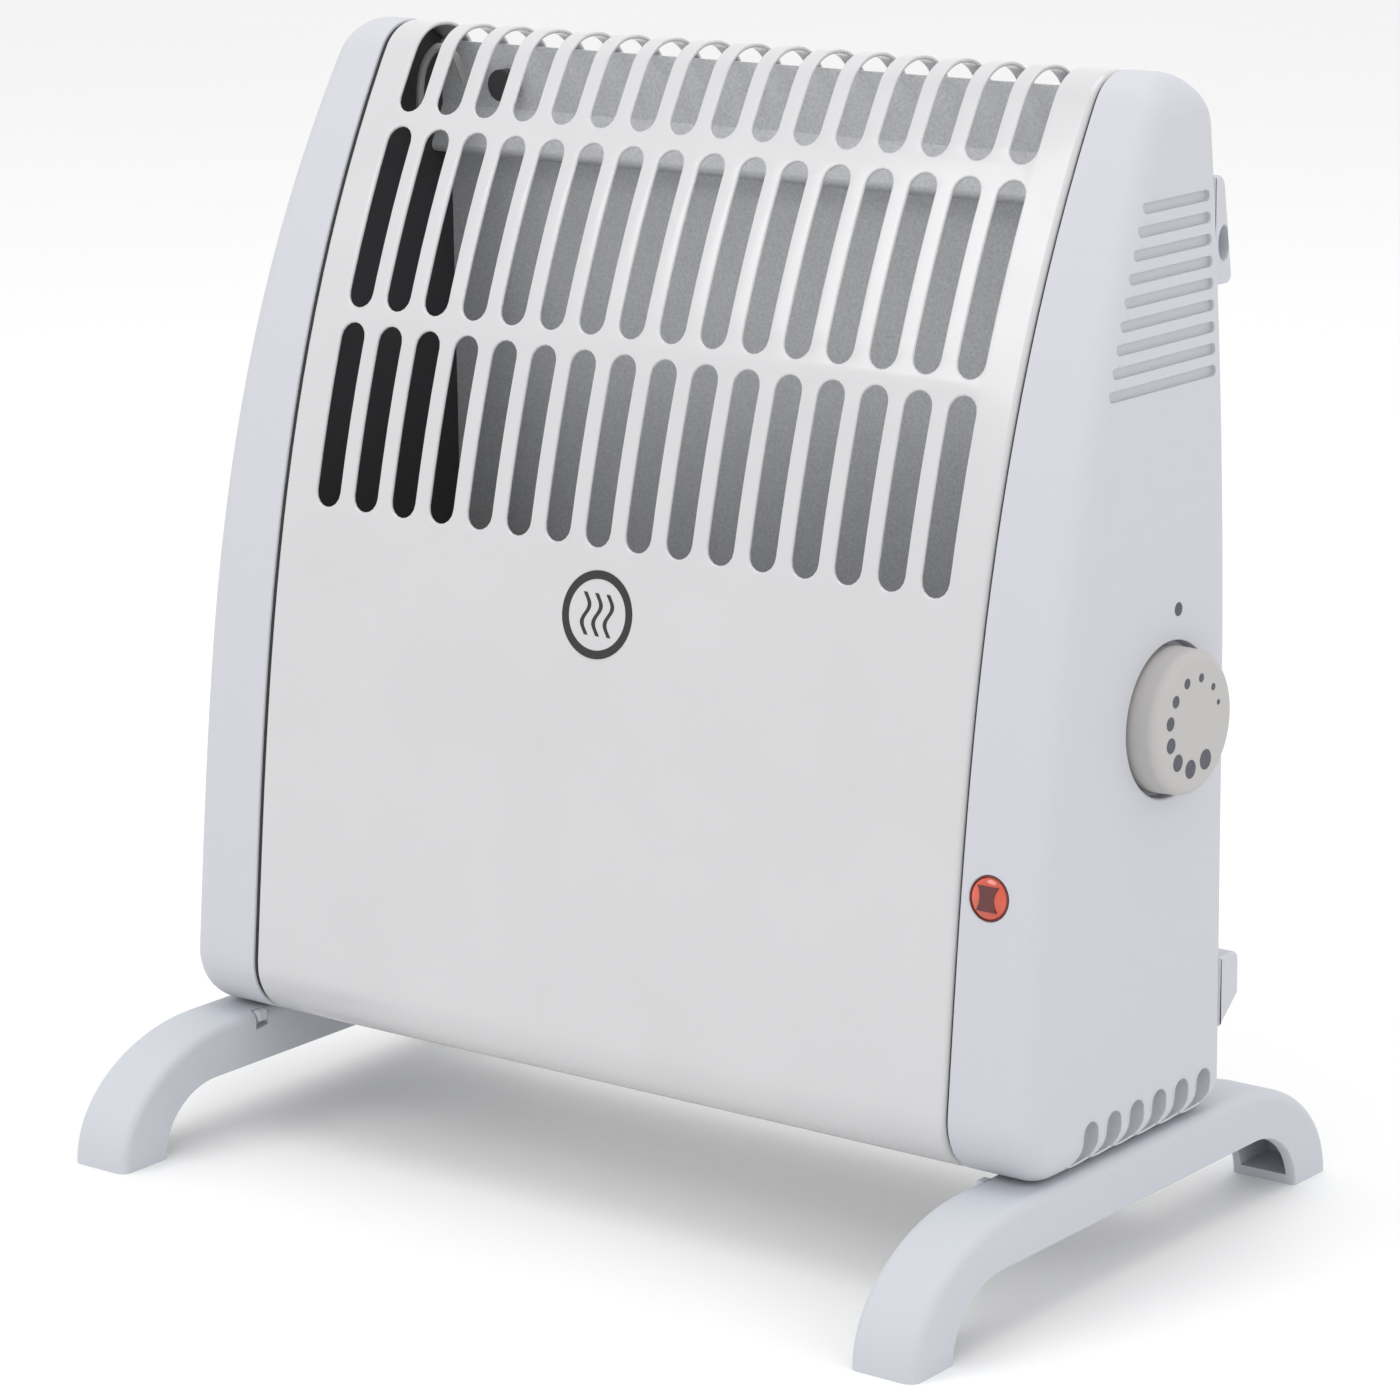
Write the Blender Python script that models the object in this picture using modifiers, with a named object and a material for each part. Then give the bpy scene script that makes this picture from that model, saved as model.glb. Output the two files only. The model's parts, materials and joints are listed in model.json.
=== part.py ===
"""Frost-guard convector heater with a thermostat knob, as an assembly of its separate pieces.

Metres, +Z up, +Y towards the wall. The heater stands on Z = 0, between its feet's toes in Y.
A pressed cover bends over the front and the top, moulded caps close the two ends, and a
folded panel closes the back. The pieces hang on one empty, which centres them over the origin.
"""

import math

import bmesh
import bpy
from mathutils import Matrix, Vector

MM = 0.001

# Driving dimensions
GAP = 0.3 * MM  # between pieces that touch
BODY_HALF_WIDTH = 126.5 * MM  # centre plane to an end cap's side face
BODY_BOTTOM = 29.5 * MM
BODY_TOP = 271.7 * MM
BACK_Y = 37.75 * MM
WALL_Y = BACK_Y + 8.5 * MM  # plane of a wall that the heater hangs on
FRONT_Y = -42.95 * MM  # cover's front at FRONT_LOW
FRONT_LOW = BODY_BOTTOM + 20.5 * MM
FRONT_HIGH = BODY_TOP - 7.7 * MM
FRONT_LEAN_EVEN = 21.1 * MM  # lean of the front from FRONT_LOW to FRONT_HIGH, even part
FRONT_LEAN_CURVED = 34.8 * MM  # the same, part that grows with the cube of the height

# Section of the body
FRONT_BOTTOM_RADIUS = 14.0 * MM
FRONT_TOP_RADIUS = 12.0 * MM
BACK_TOP_RADIUS = 12.0 * MM
BACK_BOTTOM_RADIUS = 8.0 * MM
ARC_STEPS = 4
FRONT_STEPS = 8

# End caps
CAP_WALL = 2.2 * MM
CAP_WIDTH = 21.7 * MM
CAP_SEAM = BODY_HALF_WIDTH - CAP_WIDTH
CAP_TAPER = 6.0 * MM  # side face's lean inwards at the top
CAP_TAPER_START = BODY_TOP - 146.7 * MM
CAP_EDGE_FRONT = 6.5 * MM
CAP_EDGE_TOP = 11.0 * MM
CAP_EDGE_BACK = 3.0 * MM
CAP_EDGE_BOTTOM = 7.0 * MM
GROOVE_COUNT = 9
GROOVE_PITCH = 4.93 * MM
GROOVE_TOP = BODY_TOP - 27.7 * MM
GROOVE_HEIGHT = 2.5 * MM
GROOVE_DEPTH = 0.9 * MM
GROOVE_END_Y = BACK_Y - 3.75 * MM
GROOVE_FRONT_MARGIN = 5.0 * MM
VENT_COUNT = 6
VENT_PITCH = 9.5 * MM
VENT_FIRST_Y = BACK_Y - 55.75 * MM
VENT_RADIUS = 3.4 * MM
VENT_TOP = BODY_BOTTOM + 11.8 * MM
VENT_SLANT = 5.0 * MM
VENT_INNER_X = BODY_HALF_WIDTH - 13.5 * MM

# Front cover
COVER_WALL = 1.0 * MM
COVER_HALF_WIDTH = CAP_SEAM - 0.6 * MM
COVER_UNDER = 20.0 * MM  # return under the body
COVER_BEHIND = 20.0 * MM  # return down the back
SLOT_WIDTH = 7.5 * MM
SLOT_COUNT = 16
SLOT_MARGIN = 14.2 * MM  # cover's side edge to the first slot's middle
SLOT_PITCH = 2 * (COVER_HALF_WIDTH - SLOT_MARGIN) / (SLOT_COUNT - 1)
SLOT_DROPS = ((112.9 * MM, 69.1 * MM), (65.6 * MM, 23.4 * MM))  # below BODY_TOP
TOP_SLOT_DROP = 20.0 * MM
TOP_SLOT_END_SHARE = 0.95  # of the back top arc

# End plates, rear panel and bottom plate
PLATE_WALL = 0.8 * MM
PLATE_X = CAP_SEAM - 2.4 * MM  # outer face of an end plate
PLATE_INSIDE = PLATE_X - PLATE_WALL - GAP  # reach of what stands between the plates
PLATE_INSET = 0.6 * MM  # inside the cover
PLATE_HOLE = (7.0 * MM, 6.0 * MM)  # half width and half height
PLATE_HOLE_PLACE = (5.0 * MM, BODY_BOTTOM + 18.5 * MM)
PANEL_SHELF_DROP = 33.2 * MM  # below BODY_TOP, at the outer face
PANEL_SHELF_RISE = 1.0 * MM
PANEL_SHELF_DEPTH = 8.0 * MM
PANEL_SLOPE_DROP = 21.7 * MM  # top of the slope above the shelf, below BODY_TOP
PANEL_STEP = 3.0 * MM  # upper face, in from the outer face
PANEL_TOP_DROP = 5.7 * MM
PANEL_FOOT = 10.0 * MM  # flange at the bottom
INLET_SLOTS = 14
INLET_WIDTH = 5.0 * MM

# Feet
FOOT_INNER_X = BODY_HALF_WIDTH - 17.4 * MM
FOOT_HALF_LENGTH = 87.5 * MM
FOOT_END_RUN = 42.0 * MM
FOOT_TOE = 15.5 * MM
FOOT_ARCH_RUN = 18.5 * MM
FOOT_ARCH_HEIGHT = 15.9 * MM
FOOT_WALL = 2.4 * MM
FOOT_EDGE = 2.5 * MM
FOOT_SCREW_Y = 22.0 * MM
FOOT_SCREW_X = BODY_HALF_WIDTH - 9.5 * MM

# Wall lugs
LUG_INNER_X = BODY_HALF_WIDTH - 18.5 * MM
UPPER_LUG = (BODY_TOP - 49.1 * MM, BODY_TOP - 24.1 * MM)
UPPER_LUG_LEAN = 3.8 * MM  # of its wall face, from its bottom to its top
LOWER_LUG = (BODY_BOTTOM + 18.7 * MM, BODY_BOTTOM + 36.0 * MM)
LOWER_LUG_SLANT = 6.9 * MM  # of its underside
LUG_HOLE = (2.2 * MM, 3.95 * MM)  # half width and half height
LUG_SCREW_X = BODY_HALF_WIDTH - 13.0 * MM
LUG_WALL = 2.5 * MM
SCREW_HOLE = 2.1 * MM  # radius
SCREW_SHANK = 1.8 * MM  # radius

# Thermostat
KNOB_Y = 13.5 * MM
KNOB_Z = 127.8 * MM
KNOB_RADIUS = 16.9 * MM
KNOB_PROUD = 6.5 * MM
KNOB_WALL = 2.4 * MM
KNOB_RIM = 3.2 * MM
RECESS_CLEARANCE = 1.2 * MM
RECESS_DEPTH = 3.5 * MM
RECESS_FLOOR = 2.0 * MM
SPINDLE_RADIUS = 3.0 * MM
SPINDLE_INNER_X = BODY_HALF_WIDTH - 18.3 * MM
BUSH_WALL = 1.2 * MM
BUSH_RADIUS = SPINDLE_RADIUS + GAP + BUSH_WALL
KNOB_HUB_RADIUS = SPINDLE_RADIUS + GAP + 2.3 * MM
NUT_RADIUS = BUSH_RADIUS + 3.0 * MM
BLADE_X = BODY_HALF_WIDTH - 20.5 * MM
BLADE_HINGE_DROP = 13.0 * MM  # hinge line below the spindle

# Lamp
LAMP_X = BODY_HALF_WIDTH - 14.2 * MM
LAMP_Z = 95.6 * MM
LAMP_RADIUS = 5.2 * MM
LAMP_HOLDER_WALL = 1.3 * MM

# Cord inlet and terminal block, which the lamp stands clear of
INLET_X = BODY_HALF_WIDTH - 13.0 * MM
INLET_Z = 84.0 * MM
INLET_RADIUS = 5.0 * MM
BLOCK_X = BODY_HALF_WIDTH - 14.5 * MM
BLOCK_Y = 14.0 * MM
BLOCK_Z = 62.0 * MM
BLOCK_SIZE = (12.0 * MM, 24.0 * MM, 12.0 * MM)

# Heating element
ELEMENT_HALF_LENGTH = PLATE_X - 18.4 * MM
ELEMENT_LOW = 62.0 * MM
ELEMENT_HIGH = 100.0 * MM
ELEMENT_Y = 2.0 * MM
ELEMENT_WALL = 1.0 * MM
ELEMENT_TURNS = 16
ELEMENT_WIRE = 0.5 * MM

ALONG_X = Matrix(((0, 0, 1, 0), (1, 0, 0, 0), (0, 1, 0, 0), (0, 0, 0, 1)))
AXIS_X = Matrix.Rotation(math.radians(90), 4, "Y")  # a turned piece's Z onto +X
AXIS_Y = Matrix.Rotation(math.radians(-90), 4, "X")  # a turned piece's Z onto +Y


# Scene and object helpers


def clear_scene():
    for old in list(bpy.data.objects):
        bpy.data.objects.remove(old, do_unlink=True)


def new_collection(name):
    collection = bpy.data.collections.new(name)
    bpy.context.scene.collection.children.link(collection)
    return collection


clear_scene()
PARTS = new_collection("convector_heater")
CUTTERS = new_collection("cutters")
ROOT = bpy.data.objects.new("heater_centre", None)
ROOT.location.x = -KNOB_PROUD / 2
PARTS.objects.link(ROOT)


def material(name, colour, roughness, metallic=0.0):
    made = bpy.data.materials.new(name)
    made.use_nodes = True
    shader = made.node_tree.nodes["Principled BSDF"]
    shader.inputs["Base Color"].default_value = (*colour, 1.0)
    shader.inputs["Roughness"].default_value = roughness
    shader.inputs["Metallic"].default_value = metallic
    return made


WHITE_COAT = material("white_coat", (0.80, 0.80, 0.79), 0.25)
CAP_PLASTIC = material("cap_plastic", (0.52, 0.53, 0.57), 0.45)
FOOT_PLASTIC = material("foot_plastic", (0.50, 0.52, 0.56), 0.45)
KNOB_PLASTIC = material("knob_plastic", (0.45, 0.44, 0.43), 0.40)
LAMP_RED = material("lamp_red", (0.60, 0.05, 0.02), 0.15)
LAMP_DARK = material("lamp_dark", (0.10, 0.02, 0.02), 0.50)
ZINC_SHEET = material("zinc_sheet", (0.36, 0.37, 0.38), 0.40, 1.0)
DARK_SHEET = material("dark_sheet", (0.05, 0.05, 0.055), 0.60)
SCREW_STEEL = material("screw_steel", (0.50, 0.50, 0.50), 0.30, 1.0)
BRASS = material("brass", (0.65, 0.48, 0.22), 0.30, 1.0)
CERAMIC = material("ceramic", (0.78, 0.74, 0.66), 0.60)
MICA = material("mica", (0.42, 0.30, 0.16), 0.50)
NICHROME = material("nichrome", (0.30, 0.28, 0.26), 0.40, 1.0)
BLACK_RUBBER = material("black_rubber", (0.03, 0.03, 0.03), 0.70)
TERMINAL_WHITE = material("terminal_white", (0.75, 0.75, 0.72), 0.50)
WIRE_WHITE = material("wire_white", (0.78, 0.78, 0.75), 0.50)
WIRE_BROWN = material("wire_brown", (0.22, 0.10, 0.04), 0.50)
WIRE_BLUE = material("wire_blue", (0.05, 0.12, 0.45), 0.50)
WIRE_GREEN = material("wire_green", (0.25, 0.45, 0.06), 0.50)


def add(name, mesh, surface=None, matrix=None):
    """One object: a piece with its surface, or a hidden cutter without one."""
    made = bpy.data.objects.new(name, mesh)
    if surface:
        PARTS.objects.link(made)
        mesh.materials.clear()
        mesh.materials.append(surface)
    else:
        CUTTERS.objects.link(made)
        made.hide_render = True
        made.display_type = "WIRE"
    made.parent = ROOT
    if matrix:
        made.matrix_local = matrix
    return made


def mesh_from(bm, name, smooth=math.radians(30)):
    bmesh.ops.recalc_face_normals(bm, faces=bm.faces)
    if bm.calc_volume(signed=True) < 0:
        bmesh.ops.reverse_faces(bm, faces=bm.faces)
    mesh = bpy.data.meshes.new(name)
    bm.to_mesh(mesh)
    bm.free()
    mesh.shade_smooth()
    mesh.set_sharp_from_angle(angle=smooth)
    return mesh


def box(name, low, high, surface=None, edge=0.0):
    """A block between two corners, with its edges bevelled by edge."""
    low, high = Vector(low), Vector(high)
    bm = bmesh.new()
    bmesh.ops.create_cube(bm, size=1.0)
    bmesh.ops.scale(bm, vec=high - low, verts=bm.verts)
    made = add(name, mesh_from(bm, name), surface, Matrix.Translation((low + high) / 2))
    if edge:
        bevel(made, edge)
    return made


def bevel(made, width, segments=2):
    rounding = made.modifiers.new("edges", "BEVEL")
    rounding.width = width
    rounding.segments = segments
    rounding.limit_method = "ANGLE"
    rounding.angle_limit = math.radians(40)


def turned(name, profile, matrix, surface=None, steps=24):
    """A turned shape: (radius, height) from the top down, about local Z."""
    bm = bmesh.new()
    verts = [bm.verts.new((radius, 0.0, height)) for radius, height in profile]
    for a, b in zip(verts, verts[1:]):
        bm.edges.new((a, b))
    mesh = bpy.data.meshes.new(name)
    bm.to_mesh(mesh)
    bm.free()
    made = add(name, mesh, surface, matrix)
    screw = made.modifiers.new("turn", "SCREW")
    screw.steps = steps
    screw.render_steps = steps
    screw.use_merge_vertices = True
    screw.merge_threshold = 0.00005
    return made


def ring_profile(outer, inner, high, low):
    return [(inner, high), (outer, high), (outer, low), (inner, low), (inner, high)]


def disc_profile(radius, high, low):
    return [(0.0, high), (radius, high), (radius, low), (0.0, low)]


def outline_mesh(name, loops, depth):
    """Flat outlines, filled as a 2D curve and given a depth about the plane, as a welded mesh."""
    curve = bpy.data.curves.new(name, "CURVE")
    curve.dimensions = "2D"
    curve.fill_mode = "BOTH"
    curve.extrude = depth / 2
    for loop in loops:
        spline = curve.splines.new("POLY")
        spline.points.add(len(loop) - 1)
        for point, (u, v) in zip(spline.points, loop):
            point.co = (u, v, 0.0, 1.0)
        spline.use_cyclic_u = True
    return welded(curve, name)


def welded(curve, name):
    """A curve's evaluated mesh with its caps welded on; the curve goes."""
    holder = bpy.data.objects.new(name, curve)
    bpy.context.scene.collection.objects.link(holder)
    bpy.context.view_layer.update()
    mesh = bpy.data.meshes.new_from_object(holder.evaluated_get(bpy.context.evaluated_depsgraph_get()))
    bpy.data.objects.remove(holder, do_unlink=True)
    bm = bmesh.new()
    bm.from_mesh(mesh)
    bmesh.ops.remove_doubles(bm, verts=bm.verts, dist=0.000005)
    bpy.data.meshes.remove(mesh)
    return mesh_from(bm, name)


def prism(name, loops, depth, matrix, surface=None):
    return add(name, outline_mesh(name, loops, depth), surface, matrix)


def tube(name, points, radius, surface, resolution=2):
    """A wire along points, as a filled tube."""
    curve = bpy.data.curves.new(name, "CURVE")
    curve.dimensions = "3D"
    curve.bevel_depth = radius
    curve.bevel_resolution = resolution
    curve.use_fill_caps = True
    spline = curve.splines.new("POLY")
    spline.points.add(len(points) - 1)
    for point, place in zip(spline.points, points):
        point.co = (*place, 1.0)
    return add(name, welded(curve, name), surface)


def smooth_route(corners, steps=5):
    """Points of a smooth curve through corners."""
    corners = [Vector(corner) for corner in corners]
    ends = [2 * corners[0] - corners[1], *corners, 2 * corners[-1] - corners[-2]]
    points = []
    for a, b, c, d in zip(ends, ends[1:], ends[2:], ends[3:]):
        for step in range(steps):
            t = step / steps
            bent = (2 * a - 5 * b + 4 * c - d) * t**2 + (3 * b - a - 3 * c + d) * t**3
            points.append(0.5 * (2 * b + (c - a) * t + bent))
    return [*points, corners[-1]]


def oval_loop(u, v, half_width, half_height, count):
    """A flat loop round (u, v)."""
    angles = [math.tau * step / count for step in range(count)]
    return [(u + half_width * math.cos(a), v + half_height * math.sin(a)) for a in angles]


def combine(target, others, operation):
    for other in others:
        change = target.modifiers.new(other.name, "BOOLEAN")
        change.operation = operation
        change.object = other
    return target


def cut(target, cutters):
    return combine(target, cutters, "DIFFERENCE")


# Section of the body, in (y, z)


def front_line(z):
    """Y of the front at a height: it leans back, and more so towards the top."""
    t = (z - FRONT_LOW) / (FRONT_HIGH - FRONT_LOW)
    return FRONT_Y + FRONT_LEAN_EVEN * t + FRONT_LEAN_CURVED * t**3


def rounded(corners, closed):
    """Points through corners (y, z, radius), with an arc at each corner that has a radius."""
    points = []
    count = len(corners)
    for i, (y, z, radius) in enumerate(corners):
        here = Vector((y, z))
        if not radius:
            points.append(here)
            continue
        if not closed and i in (0, count - 1):
            raise ValueError("an open line's end has no radius")
        before = (Vector(corners[i - 1][:2]) - here).normalized()
        after = (Vector(corners[(i + 1) % count][:2]) - here).normalized()
        half = before.angle(after) / 2
        centre = here + (before + after).normalized() * radius / math.sin(half)
        start = here + before * radius / math.tan(half) - centre
        end = here + after * radius / math.tan(half) - centre
        sweep = start.angle_signed(end)
        for step in range(ARC_STEPS + 1):
            angle = -sweep * step / ARC_STEPS
            c, s = math.cos(angle), math.sin(angle)
            points.append(centre + Vector((start.x * c - start.y * s, start.x * s + start.y * c)))
    return points


def top_scale():
    """Below 1 where the body's top is too shallow for both of its radii."""
    room = BACK_Y - front_line(BODY_TOP)
    needed = FRONT_TOP_RADIUS * 0.6 + BACK_TOP_RADIUS
    return min(1.0, room / (needed * 1.04))


def front_corners():
    low = BODY_BOTTOM + FRONT_BOTTOM_RADIUS * 1.25
    high = BODY_TOP - FRONT_TOP_RADIUS * 0.75
    rise = (high - low) / FRONT_STEPS
    return [
        (front_line(BODY_BOTTOM), BODY_BOTTOM, FRONT_BOTTOM_RADIUS),
        *((front_line(low + rise * i), low + rise * i, 0.0) for i in range(FRONT_STEPS + 1)),
        (front_line(BODY_TOP), BODY_TOP, FRONT_TOP_RADIUS * top_scale()),
        (BACK_Y, BODY_TOP, BACK_TOP_RADIUS * top_scale()),
    ]


def body_section():
    """The closed section, from the back's bottom corner under the body, up the front and back down."""
    return rounded([(BACK_Y, BODY_BOTTOM, BACK_BOTTOM_RADIUS), *front_corners()], closed=True)


def cover_line():
    """The part of the section that the cover follows, open at the bottom and at the back."""
    under = front_line(BODY_BOTTOM) + FRONT_BOTTOM_RADIUS + COVER_UNDER
    behind = BODY_TOP - BACK_TOP_RADIUS - COVER_BEHIND
    return rounded([(under, BODY_BOTTOM, 0.0), *front_corners(), (BACK_Y, behind, 0.0)], closed=False)


def normals(points, closed):
    """Outward mitre vectors: moving each point by one of them times d offsets the line by d."""
    result = []
    count = len(points)
    for i, here in enumerate(points):
        before = points[i - 1] if closed or i else None
        after = points[(i + 1) % count] if closed or i < count - 1 else None
        sides = [b - a for a, b in ((before, here), (here, after)) if a is not None and b is not None]
        sides = [Vector((-side.y, side.x)).normalized() for side in sides]
        middle = sum(sides, Vector((0.0, 0.0))).normalized()
        result.append(middle / middle.dot(sides[0]))
    return result


def inset_section(distance):
    points = body_section()
    return [p - n * distance for p, n in zip(points, normals(points, True))]


# Front cover


def lengths(points):
    total = [0.0]
    for a, b in zip(points, points[1:]):
        total.append(total[-1] + (b - a).length)
    return total


def length_at_height(points, along, z):
    """Length along the cover's line where its front passes height z."""
    for a, b, start in zip(points, points[1:], along):
        if a.y <= z < b.y and b.y - a.y > (b.x - a.x) * 0.2:
            return start + (b - a).length * (z - a.y) / (b.y - a.y)
    raise ValueError("no such height on the front")


def slot_outline(x, low, high):
    """A slot with half-round ends."""
    radius = SLOT_WIDTH / 2
    angles = [math.pi * step / 3 for step in range(4)]
    upper = [(x + radius * math.cos(a), high - radius + radius * math.sin(a)) for a in angles]
    lower = [(x - radius * math.cos(a), low + radius - radius * math.sin(a)) for a in angles]
    return upper + lower


def slot_spans(points, along):
    spans = []
    for row in SLOT_DROPS:
        spans.append(tuple(length_at_height(points, along, BODY_TOP - drop) for drop in row))
    arc_end = along[-2]
    arc_start = along[-2 - ARC_STEPS]
    end = arc_start + (arc_end - arc_start) * TOP_SLOT_END_SHARE
    return [*spans, (length_at_height(points, along, BODY_TOP - TOP_SLOT_DROP), end)]


def bend(bm, points, along):
    """Bends a flat sheet, X across and Y along, with its outer face at the top, onto the line."""
    for place in along[1:-1]:
        geometry = bm.verts[:] + bm.edges[:] + bm.faces[:]
        bmesh.ops.bisect_plane(bm, geom=geometry, plane_co=(0, place, 0), plane_no=(0, 1, 0), dist=1e-7)
    mitres = normals(points, False)
    top = max(vert.co.z for vert in bm.verts)
    for vert in bm.verts:
        k = max(i for i in range(len(along) - 1) if along[i] <= vert.co.y + 1e-7)
        share = (vert.co.y - along[k]) / (along[k + 1] - along[k])
        on_line = points[k].lerp(points[k + 1], share)
        out = mitres[k].lerp(mitres[k + 1], share) * (vert.co.z - top)
        vert.co = (vert.co.x, on_line.x + out.x, on_line.y + out.y)


def front_cover():
    points = cover_line()
    along = lengths(points)
    sheet = [(-COVER_HALF_WIDTH, 0.0), (COVER_HALF_WIDTH, 0.0)]
    sheet += [(x, along[-1]) for x, _ in reversed(sheet)]
    loops = [sheet]
    for low, high in slot_spans(points, along):
        for i in range(SLOT_COUNT):
            loops.append(slot_outline((i - (SLOT_COUNT - 1) / 2) * SLOT_PITCH, low, high))
    flat = outline_mesh("front_cover", loops, COVER_WALL)
    bm = bmesh.new()
    bm.from_mesh(flat)
    bend(bm, points, along)
    add("front_cover", mesh_from(bm, "front_cover"), WHITE_COAT)
    bpy.data.meshes.remove(flat)


# End caps


def side_x(z):
    """Half width of the body at a height: the side faces lean in towards the top."""
    rise = max(0.0, z - CAP_TAPER_START) / (BODY_TOP - CAP_TAPER_START)
    return BODY_HALF_WIDTH - CAP_TAPER * rise**2


def cap_edge_radius(normal):
    """Radius between the side face and the rim, by the way that the rim faces there."""
    front, back = max(0.0, -normal.x) ** 2, max(0.0, normal.x) ** 2
    top, bottom = max(0.0, normal.y) ** 2, max(0.0, -normal.y) ** 2
    level = CAP_EDGE_TOP * top_scale() * top + CAP_EDGE_BOTTOM * bottom
    return CAP_EDGE_FRONT * front + CAP_EDGE_BACK * back + level


def cap_rings(wall, steps):
    """Rings of (x, y, z) from the seam to the side face, set in by wall."""
    points = body_section()
    outward = normals(points, True)
    rings = [[(CAP_SEAM, *(p - n * wall)) for p, n in zip(points, outward)]]
    for step in range(steps + 1):
        turn = math.pi / 2 * step / steps
        ring = []
        for p, n in zip(points, outward):
            radius = cap_edge_radius(n.normalized()) - wall
            x = BODY_HALF_WIDTH - wall - radius * (1 - math.sin(turn))
            ring.append((x, *(p - n * (wall + radius * (1 - math.cos(turn))))))
        rings.append(ring)
    return rings


def cap_shell(name, side):
    """A moulded cap, open towards the body: lofted rings outside and inside, then leaned in."""
    bm = bmesh.new()
    shells = []
    for wall, steps in ((0.0, 4), (CAP_WALL, 2)):
        rings = [[bm.verts.new(point) for point in ring] for ring in cap_rings(wall, steps)]
        for near, far in zip(rings, rings[1:]):
            bridge(bm, near, far)
        bm.faces.new(rings[-1])
        shells.append(rings)
    bridge(bm, shells[0][0], shells[1][0])
    for level in range(8):
        z = CAP_TAPER_START + (BODY_TOP - CAP_TAPER_START) * level / 8
        geometry = bm.verts[:] + bm.edges[:] + bm.faces[:]
        bmesh.ops.bisect_plane(bm, geom=geometry, plane_co=(0, 0, z), plane_no=(0, 0, 1), dist=1e-6)
    for vert in bm.verts:
        share = (side_x(vert.co.z) - CAP_SEAM) / (BODY_HALF_WIDTH - CAP_SEAM)
        vert.co.x = side * (CAP_SEAM + (vert.co.x - CAP_SEAM) * share)
    bmesh.ops.remove_doubles(bm, verts=bm.verts, dist=0.00001)
    bmesh.ops.triangulate(bm, faces=bm.faces)
    return add(name, mesh_from(bm, name), CAP_PLASTIC)


def bridge(bm, near, far):
    for i in range(len(near)):
        bm.faces.new((near[i - 1], near[i], far[i], far[i - 1]))


def groove_cutter(side, index):
    z = GROOVE_TOP - GROOVE_PITCH * index
    inner, outer = side_x(z) - GROOVE_DEPTH, side_x(z) + 3 * MM
    front = front_line(z) + GROOVE_FRONT_MARGIN
    low, high = z - GROOVE_HEIGHT / 2, z + GROOVE_HEIGHT / 2
    xs = sorted((side * inner, side * outer))
    return box("groove_cutter", (xs[0], front, low), (xs[1], GROOVE_END_Y, high))


def vent_cutter(side, index):
    """A drop-shaped prism: round at the top, drawn out to a tip under the body's edge."""
    y = VENT_FIRST_Y + VENT_PITCH * index
    centre = VENT_TOP - VENT_RADIUS
    tip = BODY_BOTTOM - 2 * MM
    head = [
        (y + VENT_RADIUS * math.cos(a), centre + VENT_RADIUS * math.sin(a))
        for a in (math.pi * step / 6 for step in range(7))
    ]
    loop = [(y - VENT_SLANT + 1 * MM, tip), (y + VENT_RADIUS - 1 * MM, centre - 4 * MM), *head]
    outer = BODY_HALF_WIDTH + 3 * MM
    middle = Matrix.Translation((side * (VENT_INNER_X + outer) / 2, 0, 0))
    return prism("vent_cutter", [loop], outer - VENT_INNER_X, middle @ ALONG_X)


def foot_screw_places(side):
    return [(side * FOOT_SCREW_X, y) for y in (-FOOT_SCREW_Y, FOOT_SCREW_Y)]


def end_cap(name, side):
    cap = cap_shell(name, side)
    cut(cap, [groove_cutter(side, i) for i in range(GROOVE_COUNT)])
    cut(cap, [vent_cutter(side, i) for i in range(VENT_COUNT)])
    for x, y in foot_screw_places(side):
        at = Matrix.Translation((x, y, BODY_BOTTOM))
        cut(cap, [turned("screw_hole", disc_profile(SCREW_HOLE, 5 * MM, -2 * MM), at, steps=12)])
    for z in lug_screw_heights():
        at = Matrix.Translation((side * LUG_SCREW_X, BACK_Y, z)) @ AXIS_Y
        cut(cap, [turned("lug_hole", disc_profile(SCREW_HOLE, 2 * MM, -5 * MM), at, steps=12)])
    return cap


def recess_x():
    return side_x(KNOB_Z) - RECESS_DEPTH


def right_end_cap():
    """The cap with the thermostat's recess, the lamp's hole and the cord's hole."""
    cap = end_cap("right_end_cap", 1)
    axis = Matrix.Translation((0, KNOB_Y, KNOB_Z)) @ AXIS_X
    radius = KNOB_RADIUS + RECESS_CLEARANCE
    floor = recess_x()
    lamp_hole = turned("lamp_hole", disc_profile(LAMP_RADIUS, 6 * MM, -6 * MM), lamp_matrix())
    cord = Matrix.Translation((INLET_X, BACK_Y, INLET_Z)) @ AXIS_Y
    cord_hole = turned("cord_hole", disc_profile(INLET_RADIUS + GAP, 4 * MM, -6 * MM), cord)
    cut(cap, [lamp_hole, cord_hole])
    dish_profile = disc_profile(radius + CAP_WALL, floor + 2 * MM, floor - RECESS_FLOOR)
    dish = turned("dish", dish_profile, axis, steps=32)
    combine(cap, [dish], "UNION")
    pocket = [
        (0.0, floor + 9 * MM),
        (radius, floor + 9 * MM),
        (radius, floor),
        (BUSH_RADIUS + GAP, floor),
        (BUSH_RADIUS + GAP, floor - 6 * MM),
        (0.0, floor - 6 * MM),
    ]
    cut(cap, [turned("pocket", pocket, axis, steps=32)])


# Feet


def foot_outline():
    """Arched bar from the side: a low curve to each toe above, an arch below."""
    top = BODY_BOTTOM - GAP
    shoulder = FOOT_HALF_LENGTH - FOOT_END_RUN
    quarter = [math.pi / 2 * step / 6 for step in range(7)]
    right = [(shoulder + FOOT_END_RUN * math.sin(a), top * math.cos(a)) for a in quarter]
    inner = FOOT_HALF_LENGTH - FOOT_TOE
    arch = [
        (inner - FOOT_ARCH_RUN * (1 - math.cos(a)), FOOT_ARCH_HEIGHT * math.sin(a)) for a in quarter
    ]
    half = right + arch
    return half + [(-y, z) for y, z in reversed(half)]


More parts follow.
